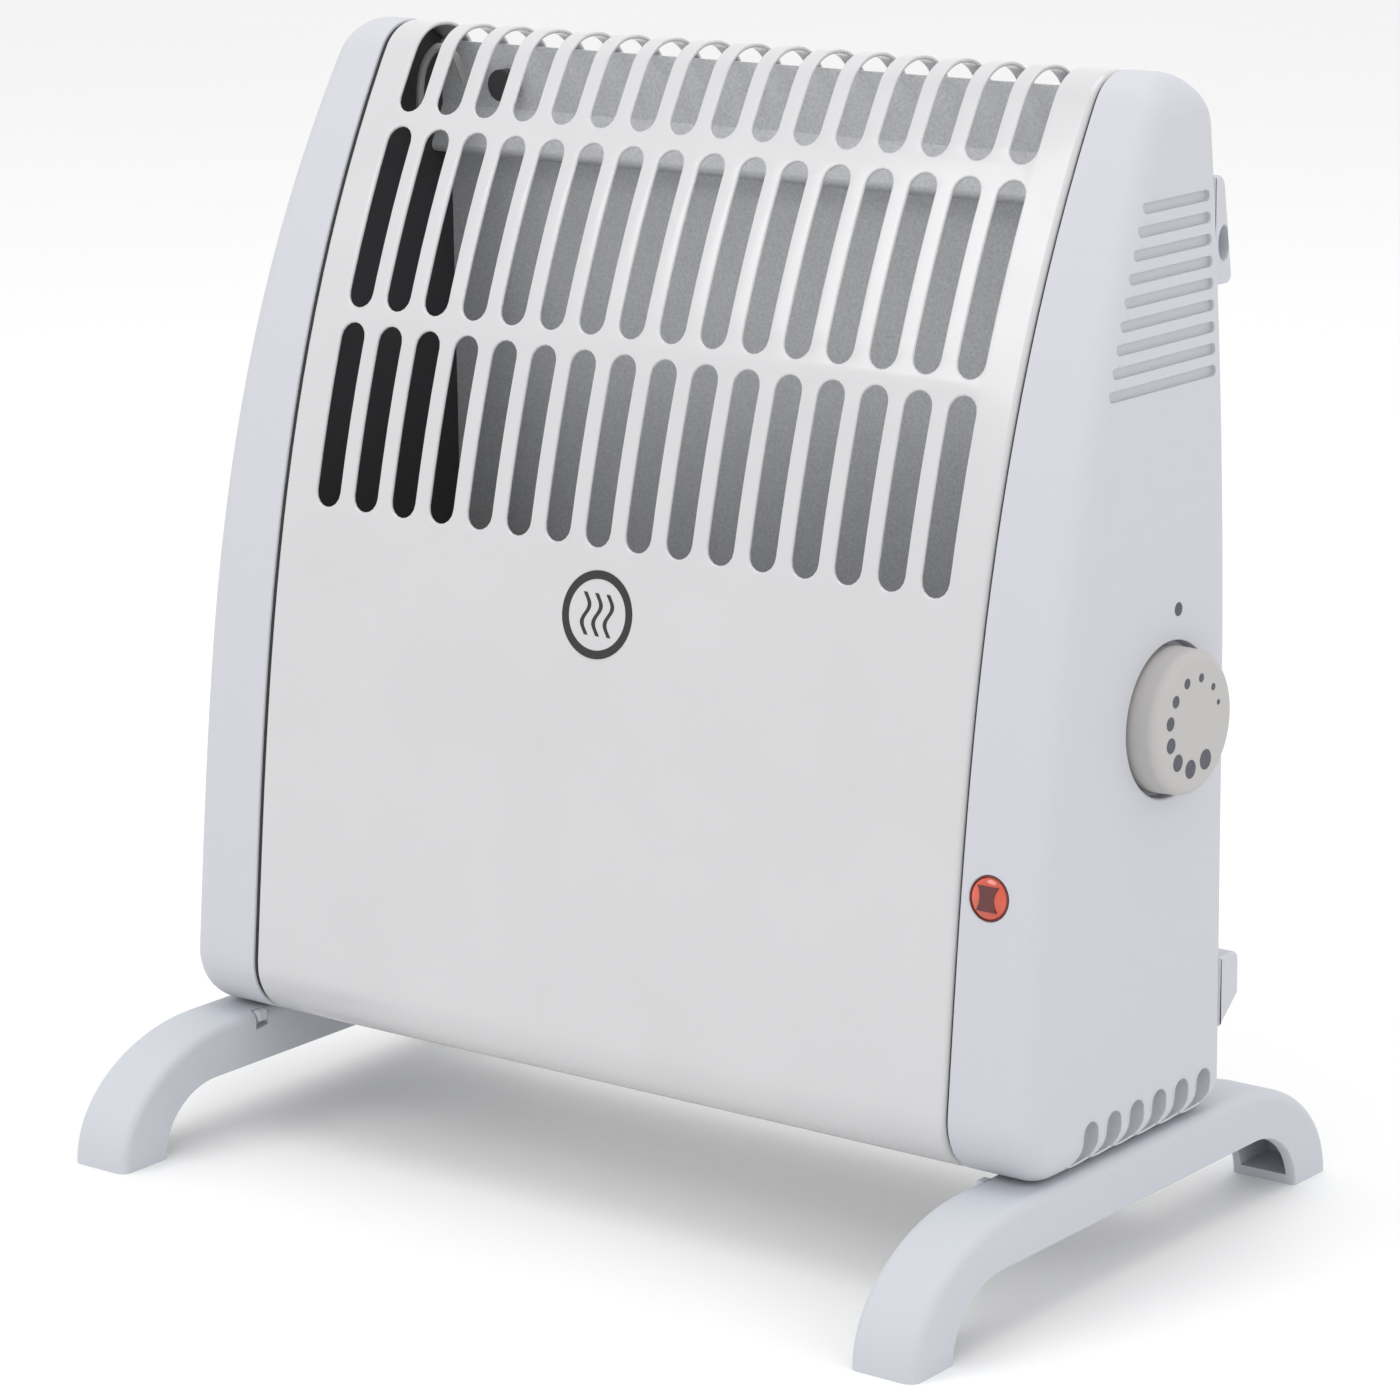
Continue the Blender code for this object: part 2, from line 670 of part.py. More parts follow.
def foot_hollow():
    """The space under the foot: a wall's thickness inside the outline, open at the arch."""
    top = BODY_BOTTOM - GAP - FOOT_WALL
    shoulder = FOOT_HALF_LENGTH - FOOT_END_RUN
    run = FOOT_END_RUN - FOOT_WALL
    last = math.acos(FOOT_WALL / top)
    arc = [last * step / 5 for step in range(6)]
    right = [(shoulder + run * math.sin(a), top * math.cos(a)) for a in arc]
    inner = FOOT_HALF_LENGTH - FOOT_TOE
    half = [*right, (inner - FOOT_WALL, FOOT_WALL), (inner - FOOT_WALL, -2 * MM)]
    return half + [(-y, z) for y, z in reversed(half)]


def foot(name, side):
    outer = BODY_HALF_WIDTH
    middle = side * (FOOT_INNER_X + outer) / 2
    place = Matrix.Translation((middle, 0, 0)) @ ALONG_X
    width = outer - FOOT_INNER_X
    made = prism(name, [foot_outline()], width, place, FOOT_PLASTIC)
    bevel(made, FOOT_EDGE)
    made.modifiers["edges"].angle_limit = math.radians(60)
    hollow = prism("foot_hollow", [foot_hollow()], width - 2 * FOOT_WALL, place)
    cut(made, [hollow])
    for x, y in foot_screw_places(side):
        at = Matrix.Translation((x, y, BODY_BOTTOM))
        cut(made, [turned("foot_hole", disc_profile(SCREW_HOLE, 2 * MM, -5 * MM), at, steps=12)])


def screw_profile(head_radius, head, radius, length):
    """A pan-head screw, shank upwards: its head hangs below Z = 0."""
    return [
        (0.0, length),
        (radius, length),
        (radius, 0.0),
        (head_radius, 0.0),
        (head_radius, -head * 0.5),
        (head_radius * 0.7, -head),
        (0.0, -head),
    ]


def foot_screws():
    seat = BODY_BOTTOM - GAP - FOOT_WALL - GAP
    number = 0
    for side in (-1, 1):
        for x, y in foot_screw_places(side):
            number += 1
            place = Matrix.Translation((x, y, seat))
            profile = screw_profile(3.6 * MM, 2.2 * MM, SCREW_SHANK, 9 * MM)
            turned(f"foot_screw_{number}", profile, place, SCREW_STEEL, steps=12)


# Wall lugs


def lug_screw_heights():
    return [sum(UPPER_LUG) / 2, sum(LOWER_LUG) / 2 + 1.5 * MM]


def upper_lug_outline():
    """The lug from the side, against the back: its wall face leans in towards the top."""
    near, far = BACK_Y + GAP, WALL_Y
    low, high = UPPER_LUG
    lean = UPPER_LUG_LEAN / (high - low)
    shoulder = 1.5 * MM
    return [
        (near, low),
        (far, low),
        (far - (high - low - shoulder) * lean, high - shoulder),
        (far - UPPER_LUG_LEAN - shoulder, high),
        (near, high),
    ]


def lower_lug_outline():
    """A spacer from the side: its underside slopes up to the wall face."""
    near, far = BACK_Y + GAP, WALL_Y
    low, high = LOWER_LUG
    return [
        (near, low),
        (far, low + LOWER_LUG_SLANT),
        (far, high - 4.0 * MM),
        (far - 1.5 * MM, high - 2.5 * MM),
        (near, high),
    ]


def wall_lug(name, side, outline, oval):
    outer = side_x(max(z for _, z in outline)) - 1.0 * MM
    middle = Matrix.Translation((side * (LUG_INNER_X + outer) / 2, 0, 0))
    width = outer - LUG_INNER_X
    lug = prism(name, [outline], width, middle @ ALONG_X, CAP_PLASTIC)
    z = lug_screw_heights()[0 if oval else 1]
    face = Matrix.Translation((side * LUG_SCREW_X, 0, z)) @ AXIS_Y
    bore = [
        (0.0, WALL_Y + 2 * MM),
        (4.2 * MM, WALL_Y + 2 * MM),
        (4.2 * MM, BACK_Y + LUG_WALL),
        (SCREW_HOLE, BACK_Y + LUG_WALL),
        (SCREW_HOLE, BACK_Y - 2 * MM),
        (0.0, BACK_Y - 2 * MM),
    ]
    cut(lug, [turned("lug_bore", bore, face, steps=16)])
    if oval:
        loop = oval_loop(WALL_Y - 3.95 * MM, UPPER_LUG[0] + 9.4 * MM, *LUG_HOLE, 16)
        end = Matrix.Translation((side * outer, 0, 0))
        cut(lug, [prism("lug_oval", [loop], 4 * MM, end @ ALONG_X)])


def wall_lugs():
    for name, side in (("left", -1), ("right", 1)):
        wall_lug(f"upper_wall_lug_{name}", side, upper_lug_outline(), True)
        wall_lug(f"lower_wall_lug_{name}", side, lower_lug_outline(), False)
        for level, z in zip(("upper", "lower"), lug_screw_heights()):
            seat = Matrix.Translation((side * LUG_SCREW_X, BACK_Y + LUG_WALL + GAP, z))
            turn = Matrix.Rotation(math.radians(90), 4, "X")
            profile = screw_profile(3.4 * MM, 2.0 * MM, SCREW_SHANK, 8 * MM)
            turned(f"{level}_lug_screw_{name}", profile, seat @ turn, SCREW_STEEL, steps=12)


# Sheet pieces inside the body


def end_plate(name, side):
    """A sheet on the body's section that carries the fittings, with a pass for the wires."""
    loop = [tuple(p) for p in inset_section(COVER_WALL + PLATE_INSET)]
    hole = oval_loop(*PLATE_HOLE_PLACE, *PLATE_HOLE, 8)
    middle = Matrix.Translation((side * (PLATE_X - PLATE_WALL / 2), 0, 0))
    surface = DARK_SHEET if side < 0 else ZINC_SHEET
    prism(name, [loop, hole], PLATE_WALL, middle @ ALONG_X, surface)


def sheet_loop(line, wall):
    """The closed section of a folded sheet, from an open line along its outer face."""
    line = [Vector(point) for point in line]
    inner = [p + n * wall for p, n in zip(line, normals(line, False))]
    return [tuple(p) for p in (*line, *reversed(inner))]


def rear_panel():
    """A folded sheet: a shelf and a slope near its top take it in behind the cover's return."""
    outer = BACK_Y - PLATE_WALL
    low = BODY_BOTTOM + 3 * MM
    shelf = BODY_TOP - PANEL_SHELF_DROP
    line = [
        (outer - PANEL_FOOT, low),
        (outer, low),
        (outer, shelf),
        (outer - PANEL_SHELF_DEPTH, shelf + PANEL_SHELF_RISE),
        (outer - PANEL_STEP, BODY_TOP - PANEL_SLOPE_DROP),
        (outer - PANEL_STEP, BODY_TOP - PANEL_TOP_DROP),
    ]
    prism("rear_panel", [sheet_loop(line, PLATE_WALL)], 2 * PLATE_INSIDE, ALONG_X, ZINC_SHEET)


def bottom_plate():
    """The air inlet: a sheet with slots between the cover's return and the rear panel."""
    half = PLATE_INSIDE
    front = front_line(BODY_BOTTOM) + FRONT_BOTTOM_RADIUS + COVER_UNDER + GAP
    back = BACK_Y - PLATE_WALL - 0.5 * MM
    loops = [[(-half, front), (half, front), (half, back), (-half, back)]]
    pitch = 2 * half / (INLET_SLOTS + 1)
    for i in range(INLET_SLOTS):
        x = (i - (INLET_SLOTS - 1) / 2) * pitch
        near, far = front + 5 * MM, back - 6 * MM
        reach = INLET_WIDTH / 2
        loops.append([(x - reach, near), (x + reach, near), (x + reach, far), (x - reach, far)])
    z = BODY_BOTTOM + PLATE_WALL / 2 + GAP
    prism("bottom_plate", loops, PLATE_WALL, Matrix.Translation((0, 0, z)), ZINC_SHEET)


# Heating element


def element_board():
    low = (-ELEMENT_HALF_LENGTH, ELEMENT_Y - ELEMENT_WALL / 2, ELEMENT_LOW)
    high = (ELEMENT_HALF_LENGTH, ELEMENT_Y + ELEMENT_WALL / 2, ELEMENT_HIGH)
    box("element_board", low, high, MICA)


def resistance_wire():
    """Flat turns of wire round the board."""
    reach = ELEMENT_WALL / 2 + ELEMENT_WIRE + GAP
    low, high = ELEMENT_LOW - reach, ELEMENT_HIGH + reach
    pitch = 2 * (ELEMENT_HALF_LENGTH - 14 * MM) / ELEMENT_TURNS
    start = -pitch * ELEMENT_TURNS / 2
    points = []
    for turn in range(ELEMENT_TURNS):
        x = start + pitch * turn
        corners = ((-1, low), (-1, high), (1, high), (1, low))
        for quarter, (face, z) in enumerate(corners):
            points.append((x + pitch * quarter / 4, ELEMENT_Y + face * reach, z))
    tube("resistance_wire", points, ELEMENT_WIRE, NICHROME, resolution=1)


def element_brackets():
    for name, side in (("left", -1), ("right", 1)):
        xs = sorted((side * (ELEMENT_HALF_LENGTH - 6 * MM), side * PLATE_INSIDE))
        low = (xs[0], ELEMENT_Y - 4 * MM, ELEMENT_LOW + 6 * MM)
        high = (xs[1], ELEMENT_Y + 4 * MM, ELEMENT_HIGH - 6 * MM)
        bracket = box(f"element_bracket_{name}", low, high, CERAMIC)
        slit = ELEMENT_WALL / 2 + GAP
        inner = sorted((side * (ELEMENT_HALF_LENGTH - 8 * MM), side * (ELEMENT_HALF_LENGTH + GAP)))
        gap_low = (inner[0], ELEMENT_Y - slit, ELEMENT_LOW)
        gap_high = (inner[1], ELEMENT_Y + slit, ELEMENT_HIGH)
        cut(bracket, [box("bracket_slit", gap_low, gap_high)])


def thermal_cutout():
    """A round limiter clipped to a tab on the right end plate, over the element."""
    at = Matrix.Translation((PLATE_INSIDE, 0, ELEMENT_HIGH + 50 * MM)) @ AXIS_X
    can = [
        (0.0, -1 * MM),
        (8 * MM, -1 * MM),
        (8 * MM, -4 * MM),
        (6 * MM, -5 * MM),
        (6 * MM, -9 * MM),
        (0.0, -9 * MM),
    ]
    turned("thermal_cutout", can, at, CERAMIC)
    clip = turned("cutout_clip", ring_profile(11 * MM, 8.3 * MM, 0.0, -1.5 * MM), at, ZINC_SHEET)
    clip.modifiers["turn"].steps = clip.modifiers["turn"].render_steps = 16


# Thermostat, from the knob inwards


def knob_axis(x=0.0):
    return Matrix.Translation((x, KNOB_Y, KNOB_Z)) @ AXIS_X


def thermostat_knob():
    """A cup with a rounded rim and a hub; its origin is on the spindle's axis."""
    face = side_x(KNOB_Z) + KNOB_PROUD
    back = recess_x() + 0.6 * MM
    depth = face - back
    rim = KNOB_RIM
    arc = [math.pi / 2 * step / 4 for step in range(5)]
    shoulder = [(KNOB_RADIUS - rim + rim * math.sin(a), -rim + rim * math.cos(a)) for a in arc]
    bore = SPINDLE_RADIUS + GAP
    profile = [
        (0.0, 0.0),
        *shoulder,
        (KNOB_RADIUS, -depth),
        (KNOB_RADIUS - KNOB_WALL, -depth),
        (KNOB_RADIUS - KNOB_WALL, -rim),
        (KNOB_HUB_RADIUS, -KNOB_WALL),
        (KNOB_HUB_RADIUS, -KNOB_WALL - 3.4 * MM),
        (bore, -KNOB_WALL - 3.4 * MM),
        (bore, -KNOB_WALL),
        (0.0, -KNOB_WALL),
    ]
    turned("thermostat_knob", profile, knob_axis(face), KNOB_PLASTIC, steps=32)


def thermostat_spindle():
    end = side_x(KNOB_Z) + KNOB_PROUD - KNOB_WALL - GAP
    profile = disc_profile(SPINDLE_RADIUS, 0.0, SPINDLE_INNER_X - end)
    turned("thermostat_spindle", profile, knob_axis(end), SCREW_STEEL, steps=16)


def thermostat_bush():
    """The bush in the recess's floor, with a shoulder inside."""
    floor = recess_x()
    inner, outer = BUSH_RADIUS - BUSH_WALL, BUSH_RADIUS
    profile = [
        (inner, floor + 3.0 * MM),
        (outer, floor + 3.0 * MM),
        (outer, floor - 3.6 * MM),
        (outer + 2 * MM, floor - 3.6 * MM),
        (outer + 2 * MM, floor - 6.0 * MM),
        (inner, floor - 6.0 * MM),
        (inner, floor + 3.0 * MM),
    ]
    turned("thermostat_bush", profile, knob_axis(), BRASS, steps=20)


def thermostat_nut():
    """A hexagon nut on the bush, in the recess."""
    floor = recess_x()
    radius = BUSH_RADIUS + GAP
    loop = oval_loop(KNOB_Y, KNOB_Z, NUT_RADIUS, NUT_RADIUS, 6)
    hole = oval_loop(KNOB_Y, KNOB_Z, radius, radius, 20)
    middle = Matrix.Translation((floor + GAP + 1.1 * MM, 0, 0))
    prism("thermostat_nut", [loop, hole], 2.2 * MM, middle @ ALONG_X, SCREW_STEEL)


def thermostat_frame():
    """The sheet bracket that the bush clamps under the recess's floor."""
    inner_face = recess_x() - RECESS_FLOOR - GAP
    middle = Matrix.Translation((inner_face - 0.5 * MM, 0, 0))
    half, low, high = 8 * MM, KNOB_Z - 30 * MM, KNOB_Z + 9 * MM
    loop = [(KNOB_Y - half, low), (KNOB_Y + half, low), (KNOB_Y + half, high), (KNOB_Y - half, high)]
    radius = BUSH_RADIUS + GAP
    hole = oval_loop(KNOB_Y, KNOB_Z, radius, radius, 16)
    prism("thermostat_frame", [loop, hole], 1.0 * MM, middle @ ALONG_X, ZINC_SHEET)


def thermostat_stack():
    """The ceramic stack below the spindle, with its two terminals and the moving blade."""
    top = recess_x() - RECESS_FLOOR - 1 * MM - 2 * GAP
    high = KNOB_Z - BLADE_HINGE_DROP - 1.5 * MM
    box("thermostat_stack", (BLADE_X + 2.5 * MM, KNOB_Y - 6 * MM, high - 13 * MM),
        (top, KNOB_Y + 6 * MM, high), CERAMIC, edge=0.6 * MM)
    for number, y in ((1, KNOB_Y - 3.5 * MM), (2, KNOB_Y + 3.5 * MM)):
        low = (BLADE_X + 5 * MM, y - 1.6 * MM, high - 21 * MM)
        far = (BLADE_X + 5.8 * MM, y + 1.6 * MM, high - 13.3 * MM)
        box(f"thermostat_terminal_{number}", low, far, BRASS)


def thermostat_blade():
    """A contact leaf that swings on its lower end; its origin is on that line."""
    line = KNOB_Z - BLADE_HINGE_DROP
    bm = bmesh.new()
    bmesh.ops.create_cube(bm, size=1.0)
    length = BLADE_HINGE_DROP + 4 * MM
    bmesh.ops.scale(bm, vec=(0.5 * MM, 6 * MM, length), verts=bm.verts)
    bmesh.ops.translate(bm, vec=(0, 0, length / 2), verts=bm.verts)
    place = Matrix.Translation((BLADE_X, KNOB_Y, line))
    add("thermostat_blade", mesh_from(bm, "thermostat_blade"), BRASS, place)


# Lamp


def lamp_matrix():
    """Local Z out of the front at the lamp."""
    slope = (front_line(LAMP_Z + 1 * MM) - front_line(LAMP_Z - 1 * MM)) / (2 * MM)
    tilt = Matrix.Rotation(math.radians(90) - math.atan(slope), 4, "X")
    return Matrix.Translation((LAMP_X, front_line(LAMP_Z), LAMP_Z)) @ tilt


def lamp():
    radius = LAMP_RADIUS - GAP
    lens = [
        (0.0, 0.9 * MM),
        (radius * 0.6, 0.7 * MM),
        (radius * 0.93, 0.2 * MM),
        (radius, -0.3 * MM),
        (radius, -3 * MM),
        (0.0, -3 * MM),
    ]
    turned("lamp_lens", lens, lamp_matrix(), LAMP_RED)
    bore = radius - LAMP_HOLDER_WALL
    shell = ring_profile(radius, bore, -3.3 * MM, -12 * MM)
    turned("lamp_holder", shell, lamp_matrix(), BLACK_RUBBER, steps=16)
    bulb = disc_profile(bore - 0.8 * MM, -3.6 * MM, -13 * MM)
    turned("lamp_bulb", bulb, lamp_matrix(), LAMP_DARK, steps=12)


# Wiring


def cord_inlet():
    """A grommet through the right cap's back wall; the cord itself isn't part of the model."""
    bore = INLET_RADIUS - 2.4 * MM
    lip = INLET_RADIUS + 1.8 * MM
    inner_lip = INLET_RADIUS + 1.2 * MM
    profile = [
        (bore, 7 * MM),
        (bore + 1.6 * MM, 7 * MM),
        (lip, 2 * MM),
        (lip, GAP),
        (INLET_RADIUS, GAP),
        (INLET_RADIUS, -CAP_WALL - GAP),
        (inner_lip, -CAP_WALL - GAP),
        (inner_lip, -CAP_WALL - 2.5 * MM),
        (bore, -CAP_WALL - 2.5 * MM),
        (bore, 7 * MM),
    ]
    at = Matrix.Translation((INLET_X, BACK_Y, INLET_Z)) @ AXIS_Y
    turned("cord_inlet", profile, at, BLACK_RUBBER, steps=20)


def terminal_block():
    centre, half = Vector((BLOCK_X, BLOCK_Y, BLOCK_Z)), Vector(BLOCK_SIZE) / 2
    block = box("terminal_block", centre - half, centre + half, TERMINAL_WHITE, edge=0.8 * MM)
    for i in (-1, 0, 1):
        at = Matrix.Translation((BLOCK_X, BLOCK_Y + i * BLOCK_SIZE[1] / 3, BLOCK_Z + half.z))
        cut(block, [turned("block_bore", disc_profile(2.2 * MM, 2 * MM, -6 * MM), at, steps=10)])


def wires():
    """Short leads between the fittings, each stopping just clear of what it joins."""
    radius = 1.0 * MM
    stack_foot = KNOB_Z - BLADE_HINGE_DROP - 1.5 * MM - 21 * MM - GAP - radius
    x = BLADE_X + 5.4 * MM
    low, top = BLOCK_Z - BLOCK_SIZE[2] / 2, BLOCK_Z + BLOCK_SIZE[2] / 2
    near, far = BLOCK_Y - BLOCK_SIZE[1] / 3, BLOCK_Y + BLOCK_SIZE[1] / 3
    face = BLOCK_Y - BLOCK_SIZE[1] / 2
    tube("live_wire", smooth_route([
        (x, KNOB_Y - 3.5 * MM, stack_foot), (x, KNOB_Y - 4 * MM, stack_foot - 5 * MM),
        (BLOCK_X, near, top + 10 * MM), (BLOCK_X, near, top + GAP),
    ]), radius, WIRE_BROWN)
    tube("switched_wire", smooth_route([
        (x, KNOB_Y + 3.5 * MM, stack_foot), (x, KNOB_Y + 5 * MM, stack_foot - 7 * MM),
        (BLOCK_X, far, top + 11 * MM), (BLOCK_X, far, top + GAP),
    ]), radius, WIRE_WHITE)
    tube("lamp_wire", smooth_route([
        (LAMP_X, front_line(LAMP_Z) + 14 * MM, LAMP_Z - 1 * MM),
        (LAMP_X, face - 22 * MM, LAMP_Z - 8 * MM), (BLOCK_X, face - 8 * MM, top + 10 * MM),
        (BLOCK_X, face - 4 * MM, BLOCK_Z + 2 * MM), (BLOCK_X, face - GAP, BLOCK_Z),
    ]), radius, WIRE_BLUE)
    y, z = PLATE_HOLE_PLACE
    tube("element_lead", smooth_route([
        (BLOCK_X, near, low - GAP), (BLOCK_X, near, low - 6 * MM), (PLATE_X + 5 * MM, y, z),
        (PLATE_X - 7 * MM, y, z), (ELEMENT_HALF_LENGTH + 4 * MM, y - 1 * MM, z + 2 * MM),
        (ELEMENT_HALF_LENGTH - 8 * MM, ELEMENT_Y, ELEMENT_LOW - 4 * MM),
    ]), radius, WIRE_WHITE)
    screw_x, screw_y, screw_z = earth_place()
    plate = -PLATE_INSIDE
    tube("earth_wire", smooth_route([
        (screw_x - 8 * MM, screw_y - 7 * MM, screw_z + 1 * MM),
        (screw_x - 10 * MM, screw_y - 9 * MM, screw_z + 8 * MM),
        (plate + 6.6 * MM, screw_y - 10 * MM, screw_z + 9 * MM),
        (plate + 2.6 * MM, screw_y - 11 * MM, screw_z + 2 * MM),
        (plate + 2.6 * MM, screw_y - 12 * MM, screw_z - 14 * MM),
    ]), radius, WIRE_GREEN)


def earth_place():
    """Inner face of the rear panel's upper part, where the earth screw's head sits."""
    inner = BACK_Y - PLATE_WALL - PANEL_STEP - PLATE_WALL
    return -PLATE_INSIDE + 21.3 * MM, inner - GAP, BODY_TOP - 15.5 * MM


def earth_screw():
    at = Matrix.Translation(earth_place()) @ AXIS_Y
    turned("earth_screw", disc_profile(4.0 * MM, 0.0, -3 * MM), at, SCREW_STEEL, steps=16)


def build():
    front_cover()
    end_cap("left_end_cap", -1)
    right_end_cap()
    for name, side in (("left", -1), ("right", 1)):
        foot(f"{name}_foot", side)
        end_plate(f"{name}_end_plate", side)
    foot_screws()
    wall_lugs()
    rear_panel()
    bottom_plate()
    element_board()
    resistance_wire()
    element_brackets()
    thermal_cutout()
    thermostat_knob()
    thermostat_spindle()
    thermostat_bush()
    thermostat_nut()
    thermostat_frame()
    thermostat_stack()
    thermostat_blade()
    lamp()
    cord_inlet()
    terminal_block()
    wires()
    earth_screw()


build()
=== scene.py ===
"""Finished surfaces and shapes of a small convector heater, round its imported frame."""

import json
import math

import bmesh
import bpy
from mathutils import Matrix, Vector


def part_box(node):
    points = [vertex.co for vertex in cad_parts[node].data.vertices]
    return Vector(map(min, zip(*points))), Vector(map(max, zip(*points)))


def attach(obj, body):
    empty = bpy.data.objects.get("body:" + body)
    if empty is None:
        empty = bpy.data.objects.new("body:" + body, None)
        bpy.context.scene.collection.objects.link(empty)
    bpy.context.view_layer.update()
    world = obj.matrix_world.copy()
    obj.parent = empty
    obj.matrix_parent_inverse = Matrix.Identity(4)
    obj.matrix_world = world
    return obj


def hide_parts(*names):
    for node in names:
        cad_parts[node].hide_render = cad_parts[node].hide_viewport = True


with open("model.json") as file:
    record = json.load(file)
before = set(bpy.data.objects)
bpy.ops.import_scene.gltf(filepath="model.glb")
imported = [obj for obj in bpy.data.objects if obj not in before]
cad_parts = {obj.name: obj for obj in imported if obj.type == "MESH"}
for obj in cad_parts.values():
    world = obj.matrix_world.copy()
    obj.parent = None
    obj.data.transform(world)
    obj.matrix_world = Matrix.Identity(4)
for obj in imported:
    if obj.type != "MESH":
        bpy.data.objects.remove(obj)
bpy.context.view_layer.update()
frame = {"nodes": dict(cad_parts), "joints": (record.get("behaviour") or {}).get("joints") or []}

bl_info = {
    "name": "Convector Heater",
    "version": (1, 0, 0),
    "blender": (4, 5, 0),
    "location": "View3D > Sidebar > Heater",
    "description": "Builds the finished pieces of a small convector heater",
    "category": "Add Mesh",
}

MM = 0.001
NODES = frame["nodes"]
COVER_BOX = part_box("front_cover")
LEFT_CAP_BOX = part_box("left_end_cap")
RIGHT_CAP_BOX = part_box("right_end_cap")
KNOB_JOINT = next(joint for joint in frame["joints"] if joint["name"] == "knob_turn")
CENTRE_X = (LEFT_CAP_BOX[0].x + RIGHT_CAP_BOX[1].x) / 2
HALF_WIDTH = (RIGHT_CAP_BOX[1].x - LEFT_CAP_BOX[0].x) / 2
COVER_HALF_WIDTH = (COVER_BOX[1].x - COVER_BOX[0].x) / 2
BODY_BOTTOM = COVER_BOX[0].z
BODY_TOP = COVER_BOX[1].z
BACK_Y = COVER_BOX[1].y
KNOB_Y, KNOB_Z = KNOB_JOINT["pos_m"][1:]

SIDES = (("left", -1), ("right", 1))
TAPER_START = BODY_TOP - 146.7 * MM  # the side faces lean in above it
FRONT_STEPS = 26
SLOT_COUNT = 16
SLOT_ROWS = ((112.9 * MM, 69.1 * MM), (65.6 * MM, 23.4 * MM))  # lower and upper ends, below the top
TOP_SLOT_DROP = 20.0 * MM
TOP_SLOT_SHARE = 0.95  # of the last bend
COVER_FLANGE = 3.2 * MM
GROOVE_COUNT = 9
GROOVE_TOP = BODY_TOP - 27.7 * MM
VENT_COUNT = 6
VENT_TOP = BODY_BOTTOM + 11.8 * MM
VENT_FIRST_Y = BACK_Y - 55.75 * MM
SCREW_HOLE = 2.1 * MM  # radius
SCREW_SHANK = 1.8 * MM  # radius
FOOT_SCREW_X = HALF_WIDTH - 9.5 * MM
FOOT_SCREW_YS = (-22 * MM, 22 * MM)
LUG_SCREW_X = HALF_WIDTH - 13 * MM
FOOT_TOP = BODY_BOTTOM - 0.3 * MM
FOOT_HALF_LENGTH = 87.5 * MM
FOOT_END_RUN = 42.0 * MM
FOOT_TOE = 15.5 * MM
FOOT_ARCH = (18.5 * MM, 15.9 * MM)  # run and height
KNOB_PROUD = 6.5 * MM
RECESS_DEPTH = 3.5 * MM
DOT_CIRCLE = 10.4 * MM
PRINT_DEPTH = 0.1 * MM
LENS_CROWN = 1.35 * MM
WELD = 0.000002

ALONG_X = Matrix(((0, 0, 1, 0), (1, 0, 0, 0), (0, 1, 0, 0), (0, 0, 0, 1)))
OUT_X = Matrix.Rotation(math.radians(90), 4, "Y")  # a turned piece's Z onto +X
OUT_Y = Matrix.Rotation(math.radians(-90), 4, "X")  # a turned piece's Z onto +Y


def length(name, description, default):
    return bpy.props.FloatProperty(
        name=name, description=description, default=default, unit="LENGTH", precision=5
    )


def colour(name, description, default):
    return bpy.props.FloatVectorProperty(
        name=name, description=description, default=default, subtype="COLOR", size=3, min=0.0, max=1.0
    )


def angle(name, description, degrees):
    return bpy.props.FloatProperty(
        name=name, description=description, default=math.radians(degrees), subtype="ANGLE"
    )


